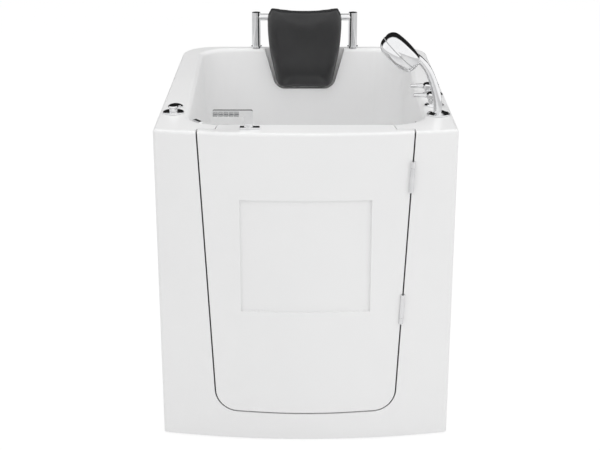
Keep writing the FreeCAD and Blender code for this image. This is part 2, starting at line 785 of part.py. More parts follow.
def shell_holes():
    holes = [deck_hole(right_x, y, VALVE_SHANK_RADIUS + HOLE_GAP) for y in valve_ys.values()]
    holes += [deck_hole(left_x, y, CONTROL_SHANK_RADIUS + HOLE_GAP) for y in (air_y, button_y)]
    holes += [deck_hole(sign * POST_X, post_y, STUD_RADIUS + STUD_GAP) for sign in (-1, 1)]
    down = V(shower_axis).multiply(SOCKET_DEPTH)
    holes.append(rod(STUB_RADIUS + SOCKET_WALL + HOLE_GAP, shower_origin.sub(down), shower_origin.add(down)))
    holes += [wall_hole(JET_HOLE_RADIUS, point, direction) for point, direction in jet_places().values()]
    holes.append(wall_hole(SUCTION_PIPE_RADIUS + HOLE_GAP, suction_point, suction_direction))
    holes.append(wall_hole(SPOUT_RADIUS + HOLE_GAP, spout_point, spout_direction))
    overflow_back = V(overflow_direction).multiply(OVERFLOW_STANDOFF + OVERFLOW_PIPE_LENGTH)
    holes.append(rod(OVERFLOW_PIPE_RADIUS + HOLE_GAP, overflow_point.sub(overflow_back), overflow_point))
    holes.append(rod(DRAIN_TAIL_RADIUS + HOLE_GAP, V(0, drain_y, frame_top - 1),
                     V(0, drain_y, FLOOR_LEVEL + 1)))
    keeper = KEEPER_WALL + BOLT_GAP + HOLE_GAP
    holes.append(bolt_passage(keeper, plug_face_x - 4 * WALL, plug_face_x))
    return holes


# Door pieces

def make_door_outer_shell(body):
    joint_y = flange_back_y - WALL
    slab = body.common(door_prism(0, y_front - OVERCUT, joint_y))
    hollow = door_prism(-WALL, y_front - OVERCUT, joint_y + 1)
    hollow = hollow.common(body_prism(WALL, -OVERCUT, deck_underside))
    backing = box(-inset_width / 2 - WALL, inset_width / 2 + WALL, y_front, joint_y,
                  INSET_BOTTOM - WALL, inset_top + WALL)
    pocket_depth = INSET_DEPTH + INSET_PLATE
    backing = backing.common(body.cut(body_prism(pocket_depth + WALL, -OVERCUT, RIM_HEIGHT + 1)))
    shell = slab.cut(hollow).fuse(backing)
    return shell.cut([inset_block(0, pocket_depth)] + hinge_notches())


def inset_block(start, end):
    """The panel's rectangle, between two depths behind the bowed front."""
    block = box(-inset_width / 2, inset_width / 2, y_front - OVERCUT, y_front + FLANGE_DEPTH,
                INSET_BOTTOM, inset_top)
    block = block.cut(body_prism(end, -OVERCUT, RIM_HEIGHT + OVERCUT))
    if start > 0:
        block = block.common(body_prism(start, -OVERCUT, RIM_HEIGHT + OVERCUT))
    return block


def make_door_inner_shell(body):
    joint_y = flange_back_y - WALL
    plate = body.common(door_prism(0, joint_y, flange_back_y))
    plug = below_rim(plug_loft(0, flange_back_y - 1, basin_front_y))
    roll = [edge for edge in edges_at_height(plug, RIM_HEIGHT)
            if abs(edge_middle(edge).y - basin_front_y) < 1e-3]
    plug = plug.makeFillet(RIM_ROLL, roll)
    hollow = plug_loft(-WALL, joint_y - 1, basin_front_y - WALL)
    hollow = hollow.common(box(-TUB_WIDTH, TUB_WIDTH, -TUB_LENGTH, TUB_LENGTH, -OVERCUT, deck_underside))
    shell = plate.fuse(plug).removeSplitter().cut(hollow)
    spindle_hole = rod(SPINDLE_RADIUS + SPINDLE_GAP, V(latch_x, latch_y, deck_underside - 1),
                       V(latch_x, latch_y, RIM_HEIGHT + 1))
    bolt_hole = bolt_passage(BOLT_GAP, plug_face_x - WALL, plug_face_x + 3 * WALL)
    return shell.cut([spindle_hole, bolt_hole] + hinge_notches())


def make_door_seal():
    """The ring against the rebate, with a band in the seam that stops at the hinges."""
    end = flange_back_y + SEAL_SPACE - SEAL_CLEARANCE
    ring = door_prism(SEAL_REACH, flange_back_y, end)
    ring = ring.cut(door_prism(SEAL_REACH - SEAL_WIDTH, flange_back_y - 1, end + 1))
    ring = ring.common(box(-TUB_WIDTH, TUB_WIDTH, -TUB_LENGTH, TUB_LENGTH, 0, RIM_HEIGHT - SEAL_TOP_DROP))
    band = door_prism(SEAL_REACH, y_front, flange_back_y).cut(door_prism(0, y_front - 1, flange_back_y + 1))
    band = band.common(body_prism(SEAL_SETBACK, 0, RIM_HEIGHT - SEAL_SETBACK))
    return ring.fuse(band).cut(hinge_seal_gaps()).removeSplitter()


# Latch

def make_latch_base_plate():
    middle = latch_x + LATCH_PLATE_OFFSET
    plate = box(middle - LATCH_PLATE_LENGTH / 2, middle + LATCH_PLATE_LENGTH / 2,
                latch_y - LATCH_PLATE_WIDTH / 2, latch_y + LATCH_PLATE_WIDTH / 2,
                RIM_HEIGHT, RIM_HEIGHT + LATCH_PLATE_HEIGHT)
    return plate.cut(rod(SPINDLE_RADIUS + SPINDLE_GAP, V(latch_x, latch_y, RIM_HEIGHT - 1),
                         V(latch_x, latch_y, RIM_HEIGHT + LATCH_PLATE_HEIGHT + 1)))


def make_latch_handle():
    """Stem and arm in one piece: the arm points along the door towards its free edge."""
    base = LATCH_PLATE_HEIGHT + TURN_GAP
    half = LATCH_ARM_THICKNESS / 2
    right = LATCH_STEM_WIDTH / 2
    arm_low = LATCH_STEM_HEIGHT - LATCH_ARM_HEIGHT
    points = [(-right, base), (right, base), (right, LATCH_STEM_HEIGHT),
              (-LATCH_ARM_REACH, LATCH_STEM_HEIGHT),
              (-LATCH_ARM_REACH, arm_low), (-right, arm_low)]
    wire = rounded_wire([V(x, -half, z) for x, z in points], [0, 0, half, half, half, half])
    handle = Part.Face(wire).extrude(V(0, LATCH_ARM_THICKNESS, 0))
    handle = handle.fuse(rod(right, V(0, 0, base), V(0, 0, base + LATCH_PLATE_HEIGHT)))
    return shifted(handle, latch_x, latch_y, RIM_HEIGHT)


def make_latch_spindle():
    pinion_top = bolt_top - (BOLT_HEIGHT - PINION_HEIGHT) / 2
    shaft = rod(SPINDLE_RADIUS, V(latch_x, latch_y, pinion_top - PINION_HEIGHT),
                V(latch_x, latch_y, RIM_HEIGHT + LATCH_PLATE_HEIGHT + TURN_GAP))
    pinion = rod(PINION_RADIUS, V(latch_x, latch_y, pinion_top - PINION_HEIGHT),
                 V(latch_x, latch_y, pinion_top))
    return shaft.fuse(pinion)


def make_latch_case():
    """Channel under the door's top that carries the spindle and guides the bolt."""
    half = LATCH_CASE_LENGTH / 2
    side = PINION_RADIUS + RACK_GAP + LATCH_CASE_WALL
    far = bolt_y - latch_y + BOLT_THICKNESS + BOLT_GAP + LATCH_CASE_WALL
    low = bolt_top - BOLT_HEIGHT - BOLT_GAP - LATCH_CASE_WALL
    block = box(latch_x - half, latch_x + half, latch_y - side, latch_y + far, low, deck_underside)
    inner_top = bolt_top + BOLT_GAP
    hollow = box(latch_x - side + LATCH_CASE_WALL, latch_x + side - LATCH_CASE_WALL,
                 latch_y - side + LATCH_CASE_WALL,
                 bolt_y + BOLT_THICKNESS + BOLT_GAP, bolt_top - BOLT_HEIGHT - BOLT_GAP, inner_top)
    shaft = rod(SPINDLE_RADIUS + SPINDLE_GAP, V(latch_x, latch_y, low - 1),
                V(latch_x, latch_y, deck_underside + 1))
    channel = bolt_passage(BOLT_GAP, latch_x - 2 * half, latch_x + 2 * half)
    return block.cut([hollow, shaft, channel])


# Headrest

def make_rail_post(sign):
    x = sign * POST_X
    post = rod(POST_RADIUS, V(x, post_y, RIM_HEIGHT), V(x, post_y, RIM_HEIGHT + POST_HEIGHT))
    stud = rod(STUD_RADIUS, V(x, post_y, RIM_HEIGHT - STUD_LENGTH), V(x, post_y, RIM_HEIGHT))
    inner = sign * (POST_X - POST_RADIUS + CROSSBAR_SOCKET)
    socket = rod(CROSSBAR_RADIUS, V(0, post_y, bar_height), V(inner, post_y, bar_height))
    return post.fuse(stud).cut(socket)


def make_rail_base_rings():
    rings = []
    for sign in (-1, 1):
        foot = V(sign * POST_X, post_y, RIM_HEIGHT)
        rings.append(tube(BASE_RING_RADIUS, POST_RADIUS, foot, foot.add(V(0, 0, BASE_RING_HEIGHT))))
    return rings


def make_rail_nuts():
    nuts = []
    for sign in (-1, 1):
        top = V(sign * POST_X, post_y, deck_underside)
        nuts.append(tube(BASE_RING_RADIUS / 2 + STUD_RADIUS / 2, STUD_RADIUS,
                         top.sub(V(0, 0, LOCK_NUT_HEIGHT)), top))
    return nuts


clip_radius = CROSSBAR_RADIUS + CLIP_GAP
board_back_y = post_y - clip_radius - CLIP_WALL
board_front_y = board_back_y - BOARD_THICKNESS


def pad_section(half, z, depth, hollow):
    """Level section of the pad: a hollowed front, rounded edges and a flat back."""
    edge = depth / 2
    back = board_front_y
    side = half - edge
    front = back - depth
    arcs = [
        Part.Arc(V(-side, front, z), V(0, front + hollow, z), V(side, front, z)).toShape(),
        Part.Arc(V(side, front, z), V(half, back - edge, z), V(side, back, z)).toShape(),
        Part.LineSegment(V(side, back, z), V(-side, back, z)).toShape(),
        Part.Arc(V(-side, back, z), V(-half, back - edge, z), V(-side, front, z)).toShape(),
    ]
    return Part.Wire(arcs)


def make_headrest_pad():
    low = RIM_HEIGHT - PAD_BOTTOM_BELOW_RIM
    high = RIM_HEIGHT + PAD_TOP_ABOVE_RIM
    widest = RIM_HEIGHT + PAD_WIDEST_ABOVE_RIM
    wide = PAD_MAX_WIDTH / 2
    narrow = PAD_BOTTOM_WIDTH / 2
    middle = (low + widest) / 2
    crown = PAD_THICKNESS
    sections = [
        pad_section(narrow, low, crown * 0.7, PAD_HOLLOW * 0.4),
        pad_section(narrow + (wide - narrow) * 0.32, low + (middle - low) * 0.45, crown, PAD_HOLLOW * 0.7),
        pad_section(narrow + (wide - narrow) * 0.68, middle, crown, PAD_HOLLOW),
        pad_section(wide, widest, crown * 0.96, PAD_HOLLOW),
        pad_section(wide - PAD_HOLLOW / 4, high, crown * 0.72, PAD_HOLLOW * 0.8),
    ]
    pad = Part.makeLoft(sections, True, False)
    dip_radius = (wide ** 2 + PAD_TOP_DIP ** 2) / (2 * PAD_TOP_DIP)
    centre_z = high - PAD_TOP_DIP + dip_radius
    start = board_front_y - 2 * PAD_THICKNESS
    dip = rod(dip_radius, V(0, start, centre_z), V(0, post_y, centre_z))
    side = wide + PAD_BULGE
    top = PAD_TOP_WIDTH / 2
    outline = [V(-top, start, high), V(-side, start, widest), V(-narrow, start, low), V(narrow, start, low),
               V(side, start, widest), V(top, start, high)]
    corner = PAD_CORNER_RADIUS
    top_corner = PAD_TOP_CORNER_RADIUS
    silhouette = Part.Face(rounded_wire(outline, [top_corner, 0, corner, corner, 0, top_corner]))
    return pad.cut(dip).common(silhouette.extrude(V(0, post_y - start, 0)))


def make_headrest_board():
    low = RIM_HEIGHT - PAD_BOTTOM_BELOW_RIM + BOARD_MARGIN
    high = RIM_HEIGHT + PAD_TOP_ABOVE_RIM - PAD_TOP_DIP - BOARD_MARGIN / 2
    high_half = PAD_MAX_WIDTH / 2 - BOARD_MARGIN
    low_half = PAD_BOTTOM_WIDTH / 2 - BOARD_MARGIN
    points = [V(-high_half, board_front_y, high), V(-low_half, board_front_y, low),
              V(low_half, board_front_y, low), V(high_half, board_front_y, high)]
    wire = rounded_wire(points, [BOARD_MARGIN / 2] * 4)
    return Part.Face(wire).extrude(V(0, BOARD_THICKNESS, 0))


def make_headrest_clips():
    clips = []
    outer = clip_radius + CLIP_WALL
    for sign in (-1, 1):
        start = V(sign * CLIP_X - CLIP_WIDTH / 2, post_y, bar_height)
        end = start.add(V(CLIP_WIDTH, 0, 0))
        foot = box(start.x, end.x, board_back_y, post_y, bar_height - outer, bar_height + outer)
        clips.append(rod(outer, start, end).fuse(foot).cut(rod(clip_radius, start, end)))
    return clips


# Hand shower

def make_shower_socket():
    dome = turned([(0, 0), (SOCKET_FLANGE_RADIUS, 0), (SOCKET_FLANGE_RADIUS, SOCKET_HEIGHT * 0.3),
                   (SOCKET_FLANGE_RADIUS * 0.82, SOCKET_HEIGHT * 0.62),
                   (STUB_RADIUS + SOCKET_WALL * 1.6, SOCKET_HEIGHT), (0, SOCKET_HEIGHT)])
    dome = shifted(dome, shower_origin.x, shower_origin.y, shower_origin.z)
    sleeve = aimed(rod(STUB_RADIUS + SOCKET_WALL, V(0, 0, -SOCKET_DEPTH), V(0, 0, SOCKET_HEIGHT / 2)),
                   shower_origin, shower_axis)
    bore = aimed(rod(STUB_RADIUS + RUNNING_GAP, V(0, 0, -STUB_LENGTH), V(0, 0, OVERCUT)), shower_origin,
                 shower_axis)
    return dome.fuse(sleeve).removeSplitter().cut(bore)


head_centre = shower_origin.add(V(-HEAD_REACH, 0, HEAD_RISE))
head_tilt = math.radians(HEAD_TILT_DEG)
head_axis = V(-math.sin(head_tilt), 0, -math.cos(head_tilt))
handle_foot = SOCKET_HEIGHT + HANDLE_FOOT_GAP


def handle_section(point, direction, half_depth, half_width):
    """Oval wire across the handle, wider along Y than it is deep."""
    oval = Part.Wire(Part.Ellipse(V(0, 0, 0), half_width, half_depth).toShape())
    return facing(oval, point, direction, AXIS_Y)


def make_hand_shower_body():
    """Stub, leaning handle that curves over at its top, and the back of the spray head."""
    foot = shower_origin.add(V(shower_axis).multiply(handle_foot))
    points = [foot] + [shower_origin.add(V(-reach, 0, rise)) for reach, rise, _, _ in HANDLE_SECTIONS]
    sections = [handle_section(foot, shower_axis, HANDLE_FOOT_RADIUS, HANDLE_FOOT_RADIUS)]
    for i, (_, _, half_depth, half_width) in enumerate(HANDLE_SECTIONS, 1):
        ahead = points[min(i + 1, len(points) - 1)]
        sections.append(handle_section(points[i], ahead.sub(points[i - 1]).normalize(), half_depth,
                                       half_width))
    handle = Part.makeLoft(sections, True, False)
    stub = aimed(rod(STUB_RADIUS, V(0, 0, -STUB_LENGTH), V(0, 0, handle_foot + 1)), shower_origin,
                 shower_axis)
    return handle.fuse([stub, make_head_dome()]).removeSplitter()


def make_head_dome():
    """The spray head's back: a drum with a full round shoulder and a slightly domed end."""
    edge = V(HEAD_RADIUS, 0, -HEAD_EDGE)
    shoulder = V(HEAD_RADIUS * 0.65, 0, -HEAD_DOME * 0.93)
    end = V(0, 0, -HEAD_DOME)
    outline = Part.Wire([
        Part.LineSegment(V(0, 0, 0), V(HEAD_RADIUS, 0, 0)).toShape(),
        Part.LineSegment(V(HEAD_RADIUS, 0, 0), edge).toShape(),
        Part.Arc(edge, V(HEAD_RADIUS * 0.9, 0, -HEAD_DOME * 0.72), shoulder).toShape(),
        Part.Arc(shoulder, V(HEAD_RADIUS * 0.34, 0, -HEAD_DOME * 0.985), end).toShape(),
        Part.LineSegment(end, V(0, 0, 0)).toShape(),
    ])
    dome = Part.Face(outline).revolve(V(0, 0, 0), AXIS_Z, 360)
    return aimed(dome, head_centre, head_axis)


def make_hand_shower_face():
    """The spray head's front: a bowl with a round edge and a sunken spray plate."""
    edge = V(HEAD_RADIUS, 0, HEAD_EDGE)
    lip = V(HEAD_FACE_RADIUS, 0, HEAD_FACE_DEPTH)
    plate_z = HEAD_FACE_DEPTH - SPRAY_PLATE_SINK
    points = [lip, V(SPRAY_PLATE_RADIUS, 0, HEAD_FACE_DEPTH), V(SPRAY_PLATE_RADIUS, 0, plate_z),
              V(0, 0, plate_z), V(0, 0, 0), V(HEAD_RADIUS, 0, 0), edge]
    edges = [Part.LineSegment(first, last).toShape() for first, last in zip(points, points[1:])]
    edges.append(Part.Arc(edge, V(HEAD_RADIUS * 0.91, 0, HEAD_FACE_DEPTH * 0.68), lip).toShape())
    bowl = Part.Face(Part.Wire(edges)).revolve(V(0, 0, 0), AXIS_Z, 360)
    return aimed(bowl, head_centre, head_axis)


# Lever valves and mixing manifold

def make_valve_base(y):
    base = turned([(0, -VALVE_SHANK_LENGTH), (VALVE_SHANK_RADIUS, -VALVE_SHANK_LENGTH),
                   (VALVE_SHANK_RADIUS, 0),
                   (VALVE_FLANGE_RADIUS, 0), (VALVE_FLANGE_RADIUS, VALVE_FLANGE_EDGE),
                   (VALVE_FLANGE_RADIUS - VALVE_FLANGE_EDGE, VALVE_FLANGE_HEIGHT - 1),
                   (VALVE_NECK_RADIUS, VALVE_FLANGE_HEIGHT), (VALVE_NECK_RADIUS, VALVE_NECK_HEIGHT),
                   (VALVE_SPINDLE_RADIUS, VALVE_NECK_HEIGHT), (VALVE_SPINDLE_RADIUS, VALVE_SPINDLE_TOP),
                   (0, VALVE_SPINDLE_TOP)])
    return shifted(base, right_x, y, RIM_HEIGHT)


def make_valve_lever(y):
    low = VALVE_NECK_HEIGHT + TURN_GAP
    bore = VALVE_SPINDLE_RADIUS + RUNNING_GAP
    cap = turned([(bore, low), (VALVE_CAP_RADIUS * 0.84, low), (VALVE_CAP_RADIUS, low + 5),
                  (VALVE_CAP_RADIUS, VALVE_CAP_TOP - 4), (VALVE_CAP_RADIUS - 4, VALVE_CAP_TOP - 0.6),
                  (VALVE_CAP_RADIUS * 0.5, VALVE_CAP_TOP), (0, VALVE_CAP_TOP),
                  (0, VALVE_SPINDLE_TOP + TURN_GAP),
                  (bore, VALVE_SPINDLE_TOP + TURN_GAP)])
    tip = V(-LEVER_REACH + LEVER_RADIUS, 0, LEVER_HEIGHT)
    root = V(-VALVE_CAP_RADIUS * 0.6, 0, LEVER_HEIGHT)
    bar = Part.makeCone(LEVER_ROOT_RADIUS, LEVER_RADIUS, root.distanceToPoint(tip), root, tip.sub(root))
    end = Part.makeSphere(LEVER_RADIUS, tip)
    return shifted(cap.fuse([bar, end]), right_x, y, RIM_HEIGHT)


manifold_top = RIM_HEIGHT - MANIFOLD_TOP_DROP
manifold_start_y = valve_ys["front"] - MANIFOLD_OVERHANG
manifold_end_y = valve_ys["rear"] + MANIFOLD_OVERHANG


def make_mixing_manifold():
    block = box(right_x - MANIFOLD_HALF_WIDTH, right_x + MANIFOLD_HALF_WIDTH, manifold_start_y,
                manifold_end_y,
                manifold_top - MANIFOLD_HEIGHT, manifold_top)
    cups = []
    bores = []
    for y in valve_ys.values():
        foot = V(right_x, y, manifold_top)
        top = V(right_x, y, deck_underside)
        cups.append(rod(VALVE_SHANK_RADIUS + CUP_WALL, foot, top))
        bores.append(rod(VALVE_SHANK_RADIUS, V(right_x, y, RIM_HEIGHT - VALVE_SHANK_LENGTH), top))
    return block.fuse(cups).removeSplitter().cut(bores)


def make_supply_tail(y):
    """Straight pipe down from the manifold under a valve, with a threaded end."""
    x = right_x - TAIL_INSET
    top = V(x, y, manifold_top - MANIFOLD_HEIGHT)
    end = V(x, y, TAIL_END_HEIGHT)
    thread = rod(TAIL_THREAD_RADIUS, end, end.add(V(0, 0, TAIL_THREAD_LENGTH)))
    return rod(TAIL_RADIUS, end, top).fuse(thread).cut(rod(TAIL_BORE, end, top))


def make_filler_spout():
    inner = SPOUT_RADIUS * 0.7
    low = -(right_x - MANIFOLD_HALF_WIDTH - spout_point.x) * 0.9
    spout = turned([(inner, low), (SPOUT_RADIUS, low), (SPOUT_RADIUS, 0), (SPOUT_FLANGE_RADIUS, 0),
                    (SPOUT_FLANGE_RADIUS, SPOUT_FLANGE_HEIGHT * 0.5),
                    (SPOUT_FLANGE_RADIUS - 4, SPOUT_FLANGE_HEIGHT),
                    (SPOUT_RADIUS * 1.3, SPOUT_FLANGE_HEIGHT), (SPOUT_RADIUS * 1.1, SPOUT_REACH),
                    (inner, SPOUT_REACH)])
    return aimed(spout, spout_point, spout_direction)


# Deck controls

def make_air_control_base():
    base = turned([(0, -CONTROL_SHANK_LENGTH), (CONTROL_SHANK_RADIUS, -CONTROL_SHANK_LENGTH),
                   (CONTROL_SHANK_RADIUS, 0),
                   (CONTROL_FLANGE_RADIUS, 0), (CONTROL_FLANGE_RADIUS, CONTROL_FLANGE_HEIGHT * 0.5),
                   (CONTROL_FLANGE_RADIUS - CONTROL_BEVEL, CONTROL_FLANGE_HEIGHT),
                   (KNOB_SPINDLE_RADIUS, CONTROL_FLANGE_HEIGHT),
                   (KNOB_SPINDLE_RADIUS, CONTROL_FLANGE_HEIGHT + KNOB_SPINDLE_HEIGHT),
                   (0, CONTROL_FLANGE_HEIGHT + KNOB_SPINDLE_HEIGHT)])
    return shifted(base, left_x, air_y, RIM_HEIGHT)


def make_air_control_knob():
    low = CONTROL_FLANGE_HEIGHT + TURN_GAP
    high = CONTROL_FLANGE_HEIGHT + KNOB_HEIGHT
    bore = KNOB_SPINDLE_RADIUS + RUNNING_GAP
    bore_top = CONTROL_FLANGE_HEIGHT + KNOB_SPINDLE_HEIGHT + TURN_GAP
    lip = high - KNOB_LIP
    knob = turned([(bore, low), (KNOB_RADIUS, low), (KNOB_RADIUS, lip), (KNOB_TOP_RADIUS, lip + KNOB_BEVEL),
                   (KNOB_TOP_RADIUS, high - KNOB_BEVEL), (KNOB_TOP_RADIUS - KNOB_BEVEL, high), (0, high),
                   (0, bore_top),
                   (bore, bore_top)])
    return shifted(knob, left_x, air_y, RIM_HEIGHT)


button_underside = CONTROL_FLANGE_HEIGHT - TURN_GAP


def make_power_button_base():
    well = BUTTON_RADIUS + RUNNING_GAP
    floor = button_underside - BUTTON_TRAVEL - TURN_GAP
    stem = BUTTON_STEM_RADIUS + RUNNING_GAP
    stem_floor = -BUTTON_STEM_LENGTH - BUTTON_TRAVEL - TURN_GAP
    base = turned([(0, -CONTROL_SHANK_LENGTH), (CONTROL_SHANK_RADIUS, -CONTROL_SHANK_LENGTH),
                   (CONTROL_SHANK_RADIUS, 0),
                   (BUTTON_FLANGE_RADIUS, 0), (BUTTON_FLANGE_RADIUS, CONTROL_FLANGE_HEIGHT / 2),
                   (BUTTON_FLANGE_RADIUS - BUTTON_EDGE, CONTROL_FLANGE_HEIGHT), (well, CONTROL_FLANGE_HEIGHT),
                   (well, floor), (stem, floor), (stem, stem_floor), (0, stem_floor)])
    return shifted(base, left_x, button_y, RIM_HEIGHT)


def make_power_button():
    top = CONTROL_FLANGE_HEIGHT + BUTTON_HEIGHT
    low = -BUTTON_STEM_LENGTH
    dome = BUTTON_HEIGHT - BUTTON_EDGE
    shoulder = top - dome
    dome_radius = (BUTTON_RADIUS ** 2 + dome ** 2) / (2 * dome)
    half_way = top - dome_radius + math.sqrt(dome_radius ** 2 - (BUTTON_RADIUS / 2) ** 2)
    outline = Part.Wire([
        Part.LineSegment(V(0, 0, low), V(BUTTON_STEM_RADIUS, 0, low)).toShape(),
        Part.LineSegment(V(BUTTON_STEM_RADIUS, 0, low), V(BUTTON_STEM_RADIUS, 0, button_underside)).toShape(),
        Part.LineSegment(V(BUTTON_STEM_RADIUS, 0, button_underside),
                         V(BUTTON_RADIUS, 0, button_underside)).toShape(),
        Part.LineSegment(V(BUTTON_RADIUS, 0, button_underside), V(BUTTON_RADIUS, 0, shoulder)).toShape(),
        Part.Arc(V(BUTTON_RADIUS, 0, shoulder), V(BUTTON_RADIUS / 2, 0, half_way), V(0, 0, top)).toShape(),
        Part.LineSegment(V(0, 0, top), V(0, 0, low)).toShape(),
    ])
    button = Part.Face(outline).revolve(V(0, 0, 0), AXIS_Z, 360)
    return shifted(button, left_x, button_y, RIM_HEIGHT)


# Overflow plate and drain control

def overflow_frame(shape):
    """A shape drawn with +Z into the basin and +X level along the corner's wall."""
    return facing(shape, overflow_point, overflow_direction, level_across(overflow_direction))


def make_overflow_plate():
    half_w = OVERFLOW_WIDTH / 2
    half_h = OVERFLOW_HEIGHT / 2
    points = [V(-half_w, -half_h, 0), V(half_w, -half_h, 0), V(half_w, half_h, 0), V(-half_w, half_h, 0)]
    plate = Part.Face(rounded_wire(points, [half_w * 0.7, half_w * 0.7, half_w * 0.35, half_w * 0.35]))
    plate = plate.extrude(V(0, 0, OVERFLOW_THICKNESS))
    pipe = tube(OVERFLOW_PIPE_RADIUS, OVERFLOW_PIPE_RADIUS - OVERFLOW_PIPE_WALL,
                V(0, 0, -OVERFLOW_STANDOFF - OVERFLOW_PIPE_LENGTH), V(0, 0, 0))
    spindle = rod(DRAIN_KNOB_SPINDLE, V(0, 0, OVERFLOW_THICKNESS),
                  V(0, 0, OVERFLOW_THICKNESS + DRAIN_KNOB_HEIGHT * 0.7))
    return overflow_frame(plate.fuse([pipe, spindle]).removeSplitter())


def make_drain_knob():
    low = OVERFLOW_THICKNESS + TURN_GAP
    high = OVERFLOW_THICKNESS + DRAIN_KNOB_HEIGHT
    bore = DRAIN_KNOB_SPINDLE + RUNNING_GAP
    bore_top = OVERFLOW_THICKNESS + DRAIN_KNOB_HEIGHT * 0.7 + TURN_GAP
    knob = turned([(bore, low), (DRAIN_KNOB_RADIUS, low), (DRAIN_KNOB_RADIUS * 0.9, high - DRAIN_KNOB_BEVEL),
                   (DRAIN_KNOB_RADIUS * 0.75, high), (0, high), (0, bore_top), (bore, bore_top)])
    grip_top = high - DRAIN_KNOB_BEVEL
    grip = box(-DRAIN_KNOB_RADIUS * 1.15, DRAIN_KNOB_RADIUS * 1.15, -DRAIN_GRIP_THICKNESS / 2,
               DRAIN_GRIP_THICKNESS / 2,
               grip_top - DRAIN_GRIP_HEIGHT, grip_top)
    clear = rod(bore, V(0, 0, 0), V(0, 0, bore_top))
    return overflow_frame(knob.fuse(grip.cut(clear)))


# Drain and waste

def make_drain_flange():
    low = DRAIN_TAIL_RADIUS * 0.4
    flange = turned([(DRAIN_BORE_RADIUS, -WALL - low), (DRAIN_TAIL_RADIUS, -WALL - low),
                     (DRAIN_TAIL_RADIUS, 0),
                     (DRAIN_FLANGE_RADIUS, 0), (DRAIN_FLANGE_RADIUS - 2, DRAIN_FLANGE_HEIGHT),
                     (DRAIN_TAIL_RADIUS + 4, DRAIN_FLANGE_HEIGHT), (DRAIN_BORE_RADIUS, 0)])
    return shifted(flange, 0, drain_y, FLOOR_LEVEL)


def make_drain_stopper():
    low = DRAIN_FLANGE_HEIGHT + TURN_GAP
    stem_low = -WALL - DRAIN_TAIL_RADIUS
    stopper = turned([(0, stem_low), (STOPPER_STEM_RADIUS, stem_low), (STOPPER_STEM_RADIUS, low),
                      (STOPPER_RADIUS, low),
                      (STOPPER_RADIUS, low + STOPPER_HEIGHT * 0.5),
                      (STOPPER_RADIUS * 0.8, low + STOPPER_HEIGHT * 0.9),
                      (0, low + STOPPER_HEIGHT)])
    return shifted(stopper, 0, drain_y, FLOOR_LEVEL)


def make_drain_body():
    """Sump under the floor, with a guide bridge for the stopper's stem and the waste outlet at its back."""
    tail_end = frame_top - DRAIN_TAIL_RADIUS * 0.4
    centre = V(0, drain_y, DRAIN_BODY_BOTTOM)
    sump = rod(DRAIN_BODY_RADIUS, centre, V(0, drain_y, frame_top))
    hollow = rod(DRAIN_BODY_RADIUS - WALL, V(0, drain_y, DRAIN_BODY_BOTTOM + WALL / 2),
                 V(0, drain_y, tail_end))
    mouth = rod(DRAIN_TAIL_RADIUS, V(0, drain_y, tail_end - 1), V(0, drain_y, frame_top + 1))
    stem_low = FLOOR_LEVEL - WALL - DRAIN_TAIL_RADIUS
    bridge = box(-DRAIN_BODY_RADIUS + WALL / 2, DRAIN_BODY_RADIUS - WALL / 2, drain_y - 5, drain_y + 5,
                 stem_low + STOPPER_LIFT + 1, stem_low + STOPPER_LIFT + 4)
    guide = rod(STOPPER_STEM_RADIUS + RUNNING_GAP, V(0, drain_y, stem_low - STOPPER_LIFT),
                V(0, drain_y, frame_top))
    outlet = rod(WASTE_BORE, V(0, drain_y, WASTE_HEIGHT), V(0, drain_y + DRAIN_BODY_RADIUS * 2, WASTE_HEIGHT))
    collar_end = V(0, drain_y + DRAIN_BODY_RADIUS + WALL, WASTE_HEIGHT)
    collar = rod(WASTE_RADIUS, V(0, drain_y, WASTE_HEIGHT), collar_end)
    body = sump.fuse(collar).removeSplitter().cut([hollow, mouth, outlet])
    return body.fuse(bridge.cut(guide)).removeSplitter()


def make_waste_pipe():
    """Straight run to the back, with a spigot at its free end."""
    start = V(0, drain_y + DRAIN_BODY_RADIUS + WALL, WASTE_HEIGHT)
    end = V(0, y_back - WASTE_END_FROM_BACK, WASTE_HEIGHT)
    shoulder = end.sub(V(0, WASTE_SPIGOT_LENGTH, 0))
    pipe = rod(WASTE_RADIUS, start, shoulder).fuse(rod(WASTE_SPIGOT_RADIUS, shoulder, end))
    return pipe.cut(rod(WASTE_BORE, start, end))


# Jets

def jet_pins(radius, reach):
    """The pair of pins that a nozzle's ball swivels on."""
    return rod(radius, V(-reach, 0, -JET_BALL_DEPTH), V(reach, 0, -JET_BALL_DEPTH))


def make_jet_body():
    flange = turned([(0, -WALL - JET_BODY_DEPTH), (JET_BODY_RADIUS, -WALL - JET_BODY_DEPTH),
                     (JET_BODY_RADIUS, -WALL),
                     (JET_HOLE_RADIUS - HOLE_GAP, -WALL), (JET_HOLE_RADIUS - HOLE_GAP, 0), (0, 0)])
    tail = rod(JET_TAIL_RADIUS, V(0, 0, -WALL - JET_BODY_DEPTH - JET_TAIL_LENGTH),
               V(0, 0, -WALL - JET_BODY_DEPTH))
    ball = Part.makeSphere(JET_BALL_RADIUS + JET_BALL_GAP, V(0, 0, -JET_BALL_DEPTH))
    mouth = rod(JET_HOLE_RADIUS * 0.72, V(0, 0, -JET_BALL_DEPTH), V(0, 0, 1))
    throat = rod(JET_BORE_RADIUS * 1.4, V(0, 0, -WALL - JET_BODY_DEPTH - JET_TAIL_LENGTH - 1), V(0, 0, 0))
    slot_radius = JET_PIN_RADIUS + RUNNING_GAP
    slot_reach = JET_PIN_REACH + JET_PIN_END_GAP
    slot = jet_pins(slot_radius, slot_reach).fuse(
        box(-slot_reach, slot_reach, -slot_radius, slot_radius, -JET_BALL_DEPTH, 1))
    return flange.fuse(tail).cut([ball, mouth, throat, slot])


